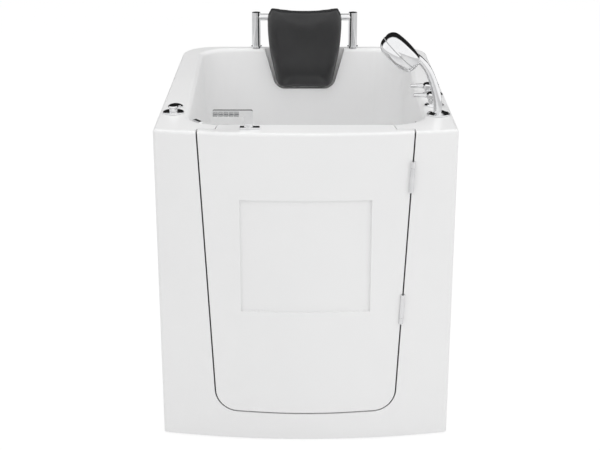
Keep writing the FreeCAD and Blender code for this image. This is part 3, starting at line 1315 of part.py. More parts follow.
def make_jet_trim():
    swing = (JET_BALL_DEPTH + JET_TRIM_HEIGHT) * math.tan(math.radians(JET_SWIVEL_DEG))
    opening = JET_SNOUT_RADIUS + swing + JET_SNOUT_GAP
    trim = turned([(opening, 0), (JET_TRIM_RADIUS, 0), (JET_TRIM_RADIUS, JET_TRIM_HEIGHT * 0.4),
                   (JET_TRIM_RADIUS * 0.86, JET_TRIM_HEIGHT), (opening + JET_TRIM_BEVEL, JET_TRIM_HEIGHT),
                   (opening, JET_TRIM_HEIGHT - JET_TRIM_BEVEL)])
    return trim.cut(Part.makeSphere(JET_BALL_RADIUS + JET_BALL_GAP, V(0, 0, -JET_BALL_DEPTH)))


def make_jet_nozzle():
    ball = Part.makeSphere(JET_BALL_RADIUS, V(0, 0, -JET_BALL_DEPTH))
    snout = rod(JET_SNOUT_RADIUS, V(0, 0, -JET_BALL_DEPTH), V(0, 0, JET_SNOUT_LENGTH))
    bore = rod(JET_BORE_RADIUS, V(0, 0, -JET_BALL_DEPTH - JET_BALL_RADIUS - 1), V(0, 0, JET_SNOUT_LENGTH + 1))
    return ball.fuse([snout, jet_pins(JET_PIN_RADIUS, JET_PIN_REACH)]).cut(bore)


# Suction and pump

fitting_back_y = suction_point.y + WALL + SUCTION_FITTING_DEPTH
wet_end_y = y_front + CROSS_RAIL_FROM_FRONT[2] - RAIL_SIZE / 2
motor_y = wet_end_y + WET_END_LENGTH


def make_suction_cover():
    cover = turned([(0, 0), (SUCTION_COVER_RADIUS, 0), (SUCTION_COVER_RADIUS, SUCTION_COVER_HEIGHT * 0.4),
                    (SUCTION_COVER_RADIUS * 0.8, SUCTION_COVER_HEIGHT), (0, SUCTION_COVER_HEIGHT)])
    slots = []
    for ring, count in ((0.3, 6), (0.58, 12)):
        for i in range(count):
            angle = 2 * math.pi * i / count
            spot = V(ring * SUCTION_COVER_RADIUS * math.cos(angle),
                     ring * SUCTION_COVER_RADIUS * math.sin(angle), -1)
            slots.append(rod(SUCTION_COVER_RADIUS * 0.08, spot, spot.add(V(0, 0, SUCTION_COVER_HEIGHT + 2))))
    return aimed(cover.cut(slots), suction_point, suction_direction)


def make_suction_fitting():
    flange = aimed(rod(SUCTION_FITTING_RADIUS, V(0, 0, -WALL * 2), V(0, 0, -WALL)), suction_point,
                   suction_direction)
    nose = aimed(rod(SUCTION_PIPE_RADIUS, V(0, 0, -WALL * 2), V(0, 0, 0)), suction_point, suction_direction)
    barrel = rod(SUCTION_PIPE_RADIUS + 4, V(0, suction_point.y + WALL * 1.6, pump_z),
                 V(0, fitting_back_y, pump_z))
    bore = rod(SUCTION_PIPE_BORE, V(0, suction_point.y - WALL * 3, pump_z), V(0, fitting_back_y + 1, pump_z))
    return flange.fuse([nose, barrel]).removeSplitter().cut(bore)


def make_suction_pipe():
    return tube(SUCTION_PIPE_RADIUS, SUCTION_PIPE_BORE, V(0, fitting_back_y, pump_z), V(0, wet_end_y, pump_z))


def make_pump_wet_end():
    shell = rod(WET_END_RADIUS, V(0, wet_end_y, pump_z), V(0, motor_y, pump_z))
    outlet_y = wet_end_y + WET_END_LENGTH / 2
    outlet = rod(DISCHARGE_RADIUS, V(0, outlet_y, pump_z),
                 V(0, outlet_y, pump_z + JET_MANIFOLD_RISE - JET_MANIFOLD_RADIUS))
    foot = box(-MOTOR_FOOT_WIDTH / 2, MOTOR_FOOT_WIDTH / 2, wet_end_y, motor_y,
               frame_top + PUMP_BASE_THICKNESS, pump_z)
    inlet = rod(SUCTION_PIPE_BORE, V(0, wet_end_y - 1, pump_z), V(0, wet_end_y + WET_END_LENGTH / 2, pump_z))
    return shell.fuse([outlet, foot]).removeSplitter().cut(inlet)


def make_pump_motor():
    can = rod(MOTOR_RADIUS, V(0, motor_y, pump_z), V(0, motor_y + MOTOR_LENGTH, pump_z))
    foot = box(-MOTOR_FOOT_WIDTH / 2, MOTOR_FOOT_WIDTH / 2, motor_y + MOTOR_LENGTH * 0.2,
               motor_y + MOTOR_LENGTH * 0.7,
               frame_top + PUMP_BASE_THICKNESS, pump_z)
    terminal = box(-MOTOR_RADIUS * 0.6, MOTOR_RADIUS * 0.6, motor_y + MOTOR_LENGTH * 0.3,
                   motor_y + MOTOR_LENGTH * 0.75,
                   pump_z, pump_z + MOTOR_RADIUS * 1.35)
    grooves = []
    for i in range(8):
        start = motor_y + MOTOR_LENGTH * (0.08 + 0.1 * i)
        ring = tube(MOTOR_RADIUS + 1, MOTOR_RADIUS - 3, V(0, start, pump_z),
                    V(0, start + MOTOR_LENGTH * 0.05, pump_z))
        grooves.append(ring)
    return can.cut(grooves).fuse([foot, terminal]).removeSplitter()


def make_pump_base():
    half = PUMP_BASE_WIDTH / 2
    start = y_front + CROSS_RAIL_FROM_FRONT[2] - RAIL_SIZE / 2
    end = y_front + CROSS_RAIL_FROM_FRONT[3] + RAIL_SIZE / 2
    return box(-half, half, start, end, frame_top, frame_top + PUMP_BASE_THICKNESS)


def make_jet_manifold():
    y = wet_end_y + WET_END_LENGTH / 2
    z = pump_z + JET_MANIFOLD_RISE
    half = JET_MANIFOLD_LENGTH / 2
    header = rod(JET_MANIFOLD_RADIUS, V(-half, y, z), V(half, y, z))
    saddle = box(-DISCHARGE_RADIUS * 1.2, DISCHARGE_RADIUS * 1.2, y - DISCHARGE_RADIUS * 1.2,
                 y + DISCHARGE_RADIUS * 1.2,
                 z - JET_MANIFOLD_RADIUS, z)
    barbs = []
    for i in range(BARB_COUNT):
        x = -half + JET_MANIFOLD_LENGTH * (i + 0.5) / BARB_COUNT
        barbs.append(rod(BARB_RADIUS, V(x, y, z), V(x, y + JET_MANIFOLD_RADIUS + BARB_LENGTH, z)))
    return header.fuse([saddle] + barbs).removeSplitter()


# Panels, frame, feet and screws

def make_side_panel(sign):
    ring = body_prism(0, APRON_GAP, panel_top).cut(body_prism(WALL, APRON_GAP - 1, panel_top + 1))
    start = front_face_y(half_width) + FRONT_RETURN + PANEL_REVEAL
    inner = half_width - BACK_CORNER_RADIUS
    side = box(inner, TUB_WIDTH, start, TUB_LENGTH, -1, RIM_HEIGHT)
    panel = ring.common(side)
    panel = panel.cut([panel_screw(1, y, z, SCREW_GAP) for y, z in screw_places()])
    return panel if sign > 0 else panel.mirror(V(0, 0, 0), AXIS_X)


def screw_places():
    low = APRON_GAP + SCREW_BOTTOM_MARGIN
    high = panel_top - SCREW_TOP_MARGIN
    return [(y_front + run, z) for run in UPRIGHT_FROM_FRONT for z in (low, (low + high) / 2, high)]


def panel_screw(sign, y, z, grow=0.0):
    outer = sign * half_width
    head_end = sign * (half_width - SCREW_HEAD_HEIGHT - grow)
    head = rod(SCREW_HEAD_RADIUS + grow, V(outer, y, z), V(head_end, y, z))
    return head.fuse(rod(SCREW_SHANK_RADIUS + grow, V(outer, y, z), V(sign * panel_inside, y, z)))


def make_panel_screws():
    return [panel_screw(sign, y, z) for sign in (-1, 1) for y, z in screw_places()]


rail_start_y = front_face_y(half_width) + FRAME_FRONT_GAP
rail_end_y = y_back - BACK_CORNER_RADIUS


def make_base_rails():
    right = box(panel_inside - RAIL_SIZE, panel_inside, rail_start_y, rail_end_y, frame_bottom, frame_top)
    return [right, right.mirror(V(0, 0, 0), AXIS_X)]


def make_cross_rails():
    half = panel_inside - RAIL_SIZE
    rails = []
    for run in CROSS_RAIL_FROM_FRONT:
        y = y_front + run
        rails.append(box(-half, half, y - RAIL_SIZE / 2, y + RAIL_SIZE / 2, frame_bottom, frame_top))
    return rails


def make_uprights():
    posts = []
    for run in UPRIGHT_FROM_FRONT:
        y = y_front + run
        post = box(panel_inside - UPRIGHT_DEPTH, panel_inside, y - RAIL_SIZE / 2, y + RAIL_SIZE / 2,
                   frame_top, deck_underside)
        posts += [post, post.mirror(V(0, 0, 0), AXIS_X)]
    return posts


def make_seat_posts():
    posts = []
    half = RAIL_SIZE / 2
    for run in CROSS_RAIL_FROM_FRONT[2:]:
        y = y_front + run
        for sign in (-1, 1):
            x = sign * SEAT_POST_X
            posts.append(box(x - half, x + half, y - half, y + half, frame_top, SEAT_LEVEL - WALL))
    return posts


def foot_places():
    x = panel_inside - FOOT_RADIUS - FOOT_PANEL_GAP
    return [(sign * x, y_front + run) for sign in (-1, 1) for run in UPRIGHT_FROM_FRONT]


def make_levelling_feet():
    foot = turned([(0, 0), (FOOT_RADIUS, 0), (FOOT_RADIUS, FOOT_HEIGHT * 0.4),
                   (FOOT_RADIUS * 0.5, FOOT_HEIGHT),
                   (FOOT_STEM_RADIUS, FOOT_HEIGHT), (FOOT_STEM_RADIUS, frame_bottom), (0, frame_bottom)])
    return [shifted(foot, x, y, 0) for x, y in foot_places()]


def make_foot_lock_nuts():
    points = [V(LOCK_NUT_RADIUS * math.cos(math.radians(60 * i)),
                LOCK_NUT_RADIUS * math.sin(math.radians(60 * i)), 0)
              for i in range(6)]
    nut = Part.Face(Part.makePolygon(points + points[:1])).extrude(V(0, 0, LOCK_NUT_HEIGHT))
    nut = nut.cut(rod(FOOT_STEM_RADIUS, V(0, 0, -1), V(0, 0, LOCK_NUT_HEIGHT + 1)))
    return [shifted(nut, x, y, frame_bottom - LOCK_NUT_HEIGHT) for x, y in foot_places()]


def build():
    body = outer_body()
    parts = {
        "tub_shell": make_tub_shell(body),
        "left_side_panel": make_side_panel(-1),
        "right_side_panel": make_side_panel(1),
        "panel_screws": make_panel_screws(),
        "frame_rails": make_base_rails() + make_cross_rails(),
        "frame_posts": make_uprights() + make_seat_posts(),
        "levelling_feet": make_levelling_feet(),
        "foot_lock_nuts": make_foot_lock_nuts(),
        "door_outer_shell": make_door_outer_shell(body),
        "door_inner_shell": make_door_inner_shell(body),
        "door_inset_panel": inset_block(INSET_DEPTH, INSET_DEPTH + INSET_PLATE),
        "door_seal": make_door_seal(),
        "latch_base_plate": make_latch_base_plate(),
        "latch_handle": make_latch_handle(),
        "latch_spindle": make_latch_spindle(),
        "latch_case": make_latch_case(),
        "latch_bolt": bolt_passage(0, bolt_tip_x, latch_x + LATCH_CASE_LENGTH / 2),
        "latch_keeper": bolt_passage(KEEPER_WALL + BOLT_GAP, plug_face_x - PLUG_GAP - KEEPER_LENGTH,
                                     plug_face_x - PLUG_GAP - BOLT_SETBACK).cut(
            bolt_passage(BOLT_GAP, plug_face_x - 2 * OVERCUT, plug_face_x)),
        "rail_posts": [make_rail_post(-1), make_rail_post(1)],
        "rail_crossbar": rod(CROSSBAR_RADIUS, V(-POST_X + POST_RADIUS - CROSSBAR_SOCKET, post_y, bar_height),
                             V(POST_X - POST_RADIUS + CROSSBAR_SOCKET, post_y, bar_height)),
        "rail_base_rings": make_rail_base_rings(),
        "rail_nuts": make_rail_nuts(),
        "headrest_pad": make_headrest_pad(),
        "headrest_board": make_headrest_board(),
        "headrest_clips": make_headrest_clips(),
        "shower_socket": make_shower_socket(),
        "hand_shower_body": make_hand_shower_body(),
        "hand_shower_face": make_hand_shower_face(),
        "mixing_manifold": make_mixing_manifold(),
        "supply_tails": [make_supply_tail(y) for y in valve_ys.values()],
        "filler_spout": make_filler_spout(),
        "air_control_base": make_air_control_base(),
        "air_control_knob": make_air_control_knob(),
        "power_button_base": make_power_button_base(),
        "power_button": make_power_button(),
        "overflow_plate": make_overflow_plate(),
        "drain_control_knob": make_drain_knob(),
        "drain_flange": make_drain_flange(),
        "drain_stopper": make_drain_stopper(),
        "drain_body": make_drain_body(),
        "waste_pipe": make_waste_pipe(),
        "suction_cover": make_suction_cover(),
        "suction_fitting": make_suction_fitting(),
        "suction_pipe": make_suction_pipe(),
        "pump_wet_end": make_pump_wet_end(),
        "pump_motor": make_pump_motor(),
        "pump_base": make_pump_base(),
        "jet_manifold": make_jet_manifold(),
    }
    parts["valve_bases"] = [make_valve_base(y) for y in valve_ys.values()]
    for name, y in valve_ys.items():
        parts[name + "_valve_lever"] = make_valve_lever(y)
    spans = hinge_spans()
    bore = HINGE_PIN_RADIUS + HINGE_RUNNING_GAP
    parts["hinge_door_leaves"] = [hinge_leaf(-1, low, high, bore) for low, high, _, _ in spans]
    parts["hinge_frame_leaves"] = [hinge_leaf(1, low, high, HINGE_PIN_RADIUS) for _, _, low, high in spans]
    parts["hinge_pins"] = [on_hinge(rod(HINGE_PIN_RADIUS, V(0, 0, min(span)), V(0, 0, max(span))))
                           for span in spans]
    body_drawing = make_jet_body()
    trim_drawing = make_jet_trim()
    nozzle_drawing = make_jet_nozzle()
    places = jet_places()
    parts["jet_bodies"] = []
    parts["jet_trim_rings"] = []
    for name, (point, direction) in places.items():
        level = level_across(direction)
        parts["jet_bodies"].append(facing(body_drawing, point, direction, level))
        parts["jet_trim_rings"].append(aimed(trim_drawing, point, direction))
        parts["jet_nozzle_" + name] = facing(nozzle_drawing, point, direction, level)
    return parts


os.makedirs("parts", exist_ok=True)
for node, made in build().items():
    shape = Part.makeCompound(made) if isinstance(made, list) else made
    solids = shape.Solids
    print(node, "solids", len(solids), "valid", shape.isValid(), "volume", round(shape.Volume))
    shape = solids[0] if len(solids) == 1 else Part.makeCompound(solids)
    shape.exportStep("parts/" + node + ".step")
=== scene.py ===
import json
import math

import bmesh
import bpy
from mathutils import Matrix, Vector


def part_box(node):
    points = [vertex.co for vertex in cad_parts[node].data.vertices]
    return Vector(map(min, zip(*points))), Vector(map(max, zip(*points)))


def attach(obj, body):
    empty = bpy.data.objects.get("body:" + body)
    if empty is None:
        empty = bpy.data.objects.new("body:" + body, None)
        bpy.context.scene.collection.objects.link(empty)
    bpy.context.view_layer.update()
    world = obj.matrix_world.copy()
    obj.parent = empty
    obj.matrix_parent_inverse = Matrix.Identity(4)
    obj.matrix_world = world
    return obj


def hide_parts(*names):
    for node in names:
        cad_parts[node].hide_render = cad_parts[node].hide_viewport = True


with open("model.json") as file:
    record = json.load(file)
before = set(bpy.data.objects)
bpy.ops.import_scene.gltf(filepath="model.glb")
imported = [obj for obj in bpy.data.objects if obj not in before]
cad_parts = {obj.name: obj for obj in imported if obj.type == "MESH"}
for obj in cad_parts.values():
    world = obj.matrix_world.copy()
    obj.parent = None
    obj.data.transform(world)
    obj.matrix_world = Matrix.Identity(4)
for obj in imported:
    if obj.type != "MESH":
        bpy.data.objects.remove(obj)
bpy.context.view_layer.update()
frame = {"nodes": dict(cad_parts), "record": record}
nodes = frame["nodes"]
slot_of = {part["node"]: part["material_slot"] for part in frame["record"]["subparts"]}

# All lengths are in metres
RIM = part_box("tub_shell")[1].z
X_AXIS = Vector((1.0, 0.0, 0.0))
Y_AXIS = Vector((0.0, 1.0, 0.0))
SMOOTH_ANGLE_DEG = 32.0
TUBE_ROUNDNESS = 3

# Headrest pad and its piping
PAD_VOXEL = 0.005
PAD_PRESSURE = 4.0
PAD_FRAMES = 20
PAD_SWELL_LIMIT = 0.005
PAD_BACK_HOLD = 0.004
PAD_SMOOTHING = 10
PAD_SUBDIVISIONS = 1
PIPING_RADIUS = 0.0016
PIPING_POINTS = 180
PIPING_EASING = 6
PIPING_FROM_BACK = 0.016

# Grip ribs on the latch arm, with each row's drop from the arm's top and its height
RIB_ROWS = ((0.0062, 0.0019), (0.0122, 0.0046))
RIB_LENGTH = 0.0122
RIB_STEP = 0.0136
RIB_RAISE = 0.0004
RIB_START = 0.0015
RIB_COUNT = 5

# Spray head trim, with each ring's radius and its count of tips
SPRAY_TILT_DEG = 43.7
SPRAY_RINGS = ((0.0, 1), (0.008, 6), (0.0155, 12), (0.023, 18), (0.0305, 24))
SPRAY_PLATE_SINK = 0.002
SPRAY_RIM_DEPTH = 0.0005
SPRAY_TIP_RADIUS = 0.0013
SPRAY_TIP_FLARE = 1.3
SPRAY_TIP_SIDES = 10
SPRAY_TIP_LENGTH = 0.0016
SPRAY_TIP_SINK = 0.0002
SEAM_RADIUS = 0.0011
SEAM_POINTS = 96

# Rolled rims on the round deck fittings
ROLLED_NODES = ("shower_socket", "power_button_base", "air_control_base")
ROLL_RADIUS = 0.0024
ROLL_POINTS = 72

# Moulded plastics, from dark to pale and from smooth to dull
WHITE_TONES = ((0.68, 0.68, 0.67), (0.76, 0.76, 0.75))
WHITE_ROUGHNESS = (0.3, 0.45)
BLACK_TONES = ((0.018, 0.018, 0.019), (0.032, 0.032, 0.034))
BLACK_ROUGHNESS = (0.36, 0.52)

# Camera
CAMERA_PLACE = (-0.015, -3.696, 1.768)
CAMERA_PITCH_DEG = 19.75
FOCAL_PIXELS = 1287.0
IMAGE_PIXELS = 600.0
SENSOR_MM = 36.0

# Floor
FLOOR_SIZE = 24.0
FLOOR_CELLS = 2
FLOOR_STOPS = ((0.3, 0.86), (0.7, 0.90))
FLOOR_ROUGHNESS = 0.9
FLOOR_GLOW = 1.08
FLOOR_GLOW_SHARE = 0.8

# Studio, with the stops of the room that reflections see, from its near side to its dark far wall
LIGHT_STRENGTH = 0.775
REFLECTION_STRENGTH = 1.25
BACKDROP_STRENGTH = 1.0
DARK_WALL_AXIS = (0.0, 0.966, 0.259)
ROOM_STOPS = ((0.0, 0.90), (0.50, 0.97), (0.60, 0.80), (0.66, 0.20), (0.70, 0.012))

# Lamps, each with its name, place, aim, size and watts
LAMPS = (
    ("key", (-1.6, -2.6, 3.4), (0.0, 0.0, 0.6), 2.2, 12.5),
    ("fill", (2.4, -2.4, 2.0), (0.0, 0.0, 0.6), 2.4, 14.0),
    ("overhead", (0.0, -0.1, 3.4), (0.0, 0.0, 0.5), 1.8, 17.5),
)


# Shader helpers

def shader(name):
    """A new material with its tree and its main shader."""
    material = bpy.data.materials.new(name)
    material.use_nodes = True
    return material, material.node_tree, material.node_tree.nodes["Principled BSDF"]


def object_point(tree):
    """Object coordinates, so that a pattern keeps its real size."""
    return tree.nodes.new("ShaderNodeTexCoord").outputs["Object"]


def stretched(tree, scale):
    """Object coordinates stretched by a scale for each axis."""
    mapping = tree.nodes.new("ShaderNodeMapping")
    mapping.inputs["Scale"].default_value = scale
    tree.links.new(object_point(tree), mapping.inputs["Vector"])
    return mapping.outputs["Vector"]


def noise(tree, scale, detail=4.0, roughness=0.55, vector=None):
    """A cloudy pattern."""
    texture = tree.nodes.new("ShaderNodeTexNoise")
    texture.inputs["Scale"].default_value = scale
    texture.inputs["Detail"].default_value = detail
    texture.inputs["Roughness"].default_value = roughness
    tree.links.new(vector or object_point(tree), texture.inputs["Vector"])
    return texture.outputs["Fac"]


def cells(tree, scale):
    """A pattern of cells, by the distance from each cell's middle."""
    texture = tree.nodes.new("ShaderNodeTexVoronoi")
    texture.inputs["Scale"].default_value = scale
    tree.links.new(object_point(tree), texture.inputs["Vector"])
    return texture.outputs["Distance"]


def ramp(tree, factor, stops):
    """Colour ramp from (place, colour or grey) stops."""
    node = tree.nodes.new("ShaderNodeValToRGB")
    elements = node.color_ramp.elements
    while len(elements) < len(stops):
        elements.new(0.5)
    for element, (place, colour) in zip(elements, stops):
        element.position = place
        rgb = colour if isinstance(colour, tuple) else (colour, colour, colour)
        element.color = (*rgb, 1.0)
    tree.links.new(factor, node.inputs["Fac"])
    return node.outputs["Color"]


def vary(tree, main, socket, pattern, stops):
    """A pattern sets one of the main shader's values through a ramp."""
    tree.links.new(ramp(tree, pattern, stops), main.inputs[socket])


def bump(tree, height, strength, distance, under=None):
    """Normals of a relief, which can lie on another relief."""
    node = tree.nodes.new("ShaderNodeBump")
    node.inputs["Strength"].default_value = strength
    node.inputs["Distance"].default_value = distance
    tree.links.new(height, node.inputs["Height"])
    if under is not None:
        tree.links.new(under, node.inputs["Normal"])
    return node.outputs["Normal"]


def mixed(tree, share, first, second):
    """Two shaders mixed by the share of the second."""
    mix = tree.nodes.new("ShaderNodeMixShader")
    tree.links.new(share, mix.inputs["Fac"])
    tree.links.new(first, mix.inputs[1])
    tree.links.new(second, mix.inputs[2])
    return mix.outputs["Shader"]


# Materials

def acrylic():
    """Glossy sanitary acrylic with a faint orange peel."""
    material, tree, main = shader("white_acrylic")
    tones = ((0.3, (0.864, 0.864, 0.866)), (0.7, (0.884, 0.884, 0.884)))
    vary(tree, main, "Base Color", noise(tree, scale=2.4, detail=3.0), tones)
    vary(tree, main, "Roughness", noise(tree, scale=9.0, detail=6.0), ((0.3, 0.29), (0.75, 0.34)))
    peel = bump(tree, noise(tree, scale=160.0, detail=2.0), strength=0.05, distance=0.0006)
    tree.links.new(peel, main.inputs["Normal"])
    main.inputs["Specular IOR Level"].default_value = 0.22
    main.inputs["Coat Weight"].default_value = 0.03
    main.inputs["Coat Roughness"].default_value = 0.08
    return material


def chrome():
    """Polished chrome with faint smears."""
    material, tree, main = shader("chrome")
    main.inputs["Metallic"].default_value = 1.0
    tones = ((0.3, (0.74, 0.745, 0.755)), (0.7, (0.82, 0.82, 0.825)))
    vary(tree, main, "Base Color", noise(tree, scale=30.0, detail=3.0), tones)
    smear = noise(tree, scale=45.0, detail=8.0, roughness=0.7)
    vary(tree, main, "Roughness", smear, ((0.35, 0.035), (0.8, 0.11)))
    return material


def leatherette():
    """Black leatherette with a pebbled grain and fine creases."""
    material, tree, main = shader("black_leatherette")
    tones = ((0.3, (0.013, 0.013, 0.014)), (0.75, (0.021, 0.021, 0.022)))
    vary(tree, main, "Base Color", noise(tree, scale=14.0, detail=5.0), tones)
    vary(tree, main, "Roughness", noise(tree, scale=60.0, detail=6.0), ((0.3, 0.28), (0.75, 0.38)))
    grain = bump(tree, cells(tree, scale=620.0), strength=0.32, distance=0.0007)
    folds = noise(tree, scale=240.0, detail=6.0, roughness=0.65)
    creases = bump(tree, folds, strength=0.16, distance=0.0008, under=grain)
    tree.links.new(creases, main.inputs["Normal"])
    main.inputs["Specular IOR Level"].default_value = 0.5
    main.inputs["Sheen Weight"].default_value = 0.04
    main.inputs["Sheen Roughness"].default_value = 0.45
    return material


def rubber():
    """Matt black rubber with a little dust."""
    material, tree, main = shader("black_rubber")
    tones = ((0.3, (0.007, 0.007, 0.007)), (0.75, (0.014, 0.014, 0.015)))
    vary(tree, main, "Base Color", noise(tree, scale=40.0, detail=6.0), tones)
    vary(tree, main, "Roughness", noise(tree, scale=25.0, detail=5.0), ((0.3, 0.62), (0.75, 0.8)))
    pores = bump(tree, noise(tree, scale=700.0, detail=3.0), strength=0.2, distance=0.0004)
    tree.links.new(pores, main.inputs["Normal"])
    return material


def zinc_steel():
    """Zinc-coated steel with its spangle."""
    material, tree, main = shader("zinc_steel")
    main.inputs["Metallic"].default_value = 1.0
    tones = ((0.1, (0.46, 0.47, 0.48)), (0.8, (0.60, 0.61, 0.62)))
    vary(tree, main, "Base Color", cells(tree, scale=55.0), tones)
    dull = noise(tree, scale=28.0, detail=7.0, roughness=0.7)
    vary(tree, main, "Roughness", dull, ((0.3, 0.32), (0.75, 0.52)))
    along = stretched(tree, scale=(1.0, 1.0, 14.0))
    brushed = noise(tree, scale=90.0, detail=3.0, roughness=0.5, vector=along)
    tree.links.new(bump(tree, brushed, strength=0.06, distance=0.0004), main.inputs["Normal"])
    return material


def brass():
    """Cast brass with some tarnish."""
    material, tree, main = shader("brass")
    main.inputs["Metallic"].default_value = 1.0
    tarnish = noise(tree, scale=18.0, detail=7.0, roughness=0.65)
    tones = ((0.25, (0.50, 0.34, 0.14)), (0.7, (0.74, 0.55, 0.26)))
    vary(tree, main, "Base Color", tarnish, tones)
    vary(tree, main, "Roughness", noise(tree, scale=60.0, detail=6.0), ((0.3, 0.26), (0.75, 0.44)))
    sand = bump(tree, noise(tree, scale=420.0, detail=4.0), strength=0.12, distance=0.0005)
    tree.links.new(sand, main.inputs["Normal"])
    return material


def moulded_plastic(name, tones, roughness):
    """Moulded plastic with a fine spark texture."""
    material, tree, main = shader(name)
    dark, pale = tones
    smooth, dull = roughness
    vary(tree, main, "Base Color", noise(tree, scale=20.0, detail=5.0), ((0.3, dark), (0.75, pale)))
    vary(tree, main, "Roughness", noise(tree, scale=45.0, detail=5.0), ((0.3, smooth), (0.75, dull)))
    sparks = bump(tree, noise(tree, scale=900.0, detail=2.0), strength=0.14, distance=0.0003)
    tree.links.new(sparks, main.inputs["Normal"])
    return material


def grey_paint():
    """Sprayed grey paint with a clear coat."""
    material, tree, main = shader("grey_paint")
    tones = ((0.3, (0.330, 0.335, 0.340)), (0.75, (0.400, 0.405, 0.410)))
    vary(tree, main, "Base Color", noise(tree, scale=26.0, detail=6.0), tones)
    vary(tree, main, "Roughness", noise(tree, scale=50.0, detail=5.0), ((0.3, 0.34), (0.75, 0.5)))
    spray = bump(tree, cells(tree, scale=420.0), strength=0.18, distance=0.0005)
    tree.links.new(spray, main.inputs["Normal"])
    main.inputs["Coat Weight"].default_value = 0.2
    return material


materials = {
    "white_acrylic": acrylic(),
    "chrome": chrome(),
    "black_leatherette": leatherette(),
    "black_rubber": rubber(),
    "zinc_steel": zinc_steel(),
    "brass": brass(),
    "grey_paint": grey_paint(),
    "white_plastic": moulded_plastic("white_plastic", WHITE_TONES, WHITE_ROUGHNESS),
    "black_plastic": moulded_plastic("black_plastic", BLACK_TONES, BLACK_ROUGHNESS),
}


# CAD nodes

def dress_nodes():
    """Each CAD node keeps its shape, gets its finish, and shades flat faces flat and soft edges smooth."""
    for name, node in nodes.items():
        node.data.materials.clear()
        node.data.materials.append(materials[slot_of[name]])
        node.data.shade_smooth()
        node.data.set_sharp_from_angle(angle=math.radians(SMOOTH_ANGLE_DEG))
        flats = node.modifiers.new("flats", "WEIGHTED_NORMAL")
        flats.keep_sharp = True


# Mesh helpers

def piece(name, mesh, slot, body):
    """A new mesh object that takes a slot's finish and rides on a body."""
    item = bpy.data.objects.new(name, mesh)
    bpy.context.scene.collection.objects.link(item)
    mesh.materials.append(materials[slot])
    mesh.shade_smooth()
    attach(item, body)
    return item


def mesh_from(shape, name):
    """The mesh of an edited shape, which is then let go."""
    mesh = bpy.data.meshes.new(name)
    shape.to_mesh(mesh)
    shape.free()
    return mesh


def keep_modified(item):
    """The object's mesh becomes what its modifiers make of it, and the modifiers go."""
    seen = item.evaluated_get(bpy.context.evaluated_depsgraph_get())
    mesh = bpy.data.meshes.new_from_object(seen)
    item.modifiers.clear()
    item.data = mesh


def ring_points(centre, first, second, radius, count):
    """Even points on a circle that two unit directions span."""
    turns = [2 * math.pi * i / count for i in range(count)]
    return [centre + first * (radius * math.cos(t)) + second * (radius * math.sin(t)) for t in turns]


def low_and_left(edge):
    """Rank of an edge, so that a loop starts at the same one each time."""
    one, other = edge.verts
    return (one.co + other.co).z, one.co.x


def edge_loop(mesh, depth):
    """The points, in order, where a mesh meets an upright plane across the depth."""
    shape = bmesh.new()
    shape.from_mesh(mesh)
    everything = shape.verts[:] + shape.edges[:] + shape.faces[:]
    cut = bmesh.ops.bisect_plane(shape, geom=everything, plane_co=Y_AXIS * depth, plane_no=Y_AXIS)
    edges = {item for item in cut["geom_cut"] if isinstance(item, bmesh.types.BMEdge)}
    edge = min(edges, key=low_and_left)
    edges.remove(edge)
    start, here = edge.verts
    points = [start.co.copy(), here.co.copy()]
    while here is not start:
        edge = next(other for other in here.link_edges if other in edges)
        edges.remove(edge)
        here = edge.other_vert(here)
        points.append(here.co.copy())
    shape.free()
    return points[:-1]


def even_loop(points, count, easing):
    """A closed loop walked at even steps, with each point drawn a few times towards its neighbours."""
    lengths = [0.0]
    closed = points + points[:1]
    for a, b in zip(closed, closed[1:]):
        lengths.append(lengths[-1] + (b - a).length)
    walked = []
    at = 0
    for i in range(count):
        target = lengths[-1] * i / count
        while lengths[at + 1] < target:
            at += 1
        share = (target - lengths[at]) / (lengths[at + 1] - lengths[at])
        walked.append(closed[at].lerp(closed[at + 1], share))
    for _ in range(easing):
        walked = [(walked[i - 1] + walked[i] * 2 + walked[(i + 1) % count]) / 4 for i in range(count)]
    return walked


def closed_tube(points, radius):
    """The mesh of a round tube along a closed loop of points."""
    curve = bpy.data.curves.new("loop", "CURVE")
    curve.dimensions = "3D"
    curve.bevel_depth = radius
    curve.bevel_resolution = TUBE_ROUNDNESS
    line = curve.splines.new("POLY")
    line.points.add(len(points) - 1)
    for spot, point in zip(line.points, points):
        spot.co = (*point, 1.0)
    line.use_cyclic_u = True
    holder = bpy.data.objects.new("loop", curve)
    bpy.context.scene.collection.objects.link(holder)
    mesh = bpy.data.meshes.new_from_object(holder.evaluated_get(bpy.context.evaluated_depsgraph_get()))
    bpy.data.objects.remove(holder)
    return mesh


# Headrest

def swell(item, back):
    """Cloth pressure blows the pad up by a little at most, while its back is held."""
    scene = bpy.context.scene
    at_rest = [vertex.co.copy() for vertex in item.data.vertices]
    held = item.vertex_groups.new(name="held")
    held.add([v.index for v in item.data.vertices if v.co.y > back - PAD_BACK_HOLD], 1.0, "REPLACE")
    cloth = item.modifiers.new("swell", "CLOTH")
    cloth.settings.use_pressure = True
    cloth.settings.uniform_pressure_force = PAD_PRESSURE
    cloth.settings.vertex_group_mass = "held"
    cloth.settings.effector_weights.gravity = 0.0
    for step in range(1, PAD_FRAMES + 1):
        scene.frame_set(step)
    keep_modified(item)
    scene.frame_set(1)
    for vertex, start in zip(item.data.vertices, at_rest):
        move = vertex.co - start
        if move.length > PAD_SWELL_LIMIT:
            vertex.co = start + move.normalized() * PAD_SWELL_LIMIT


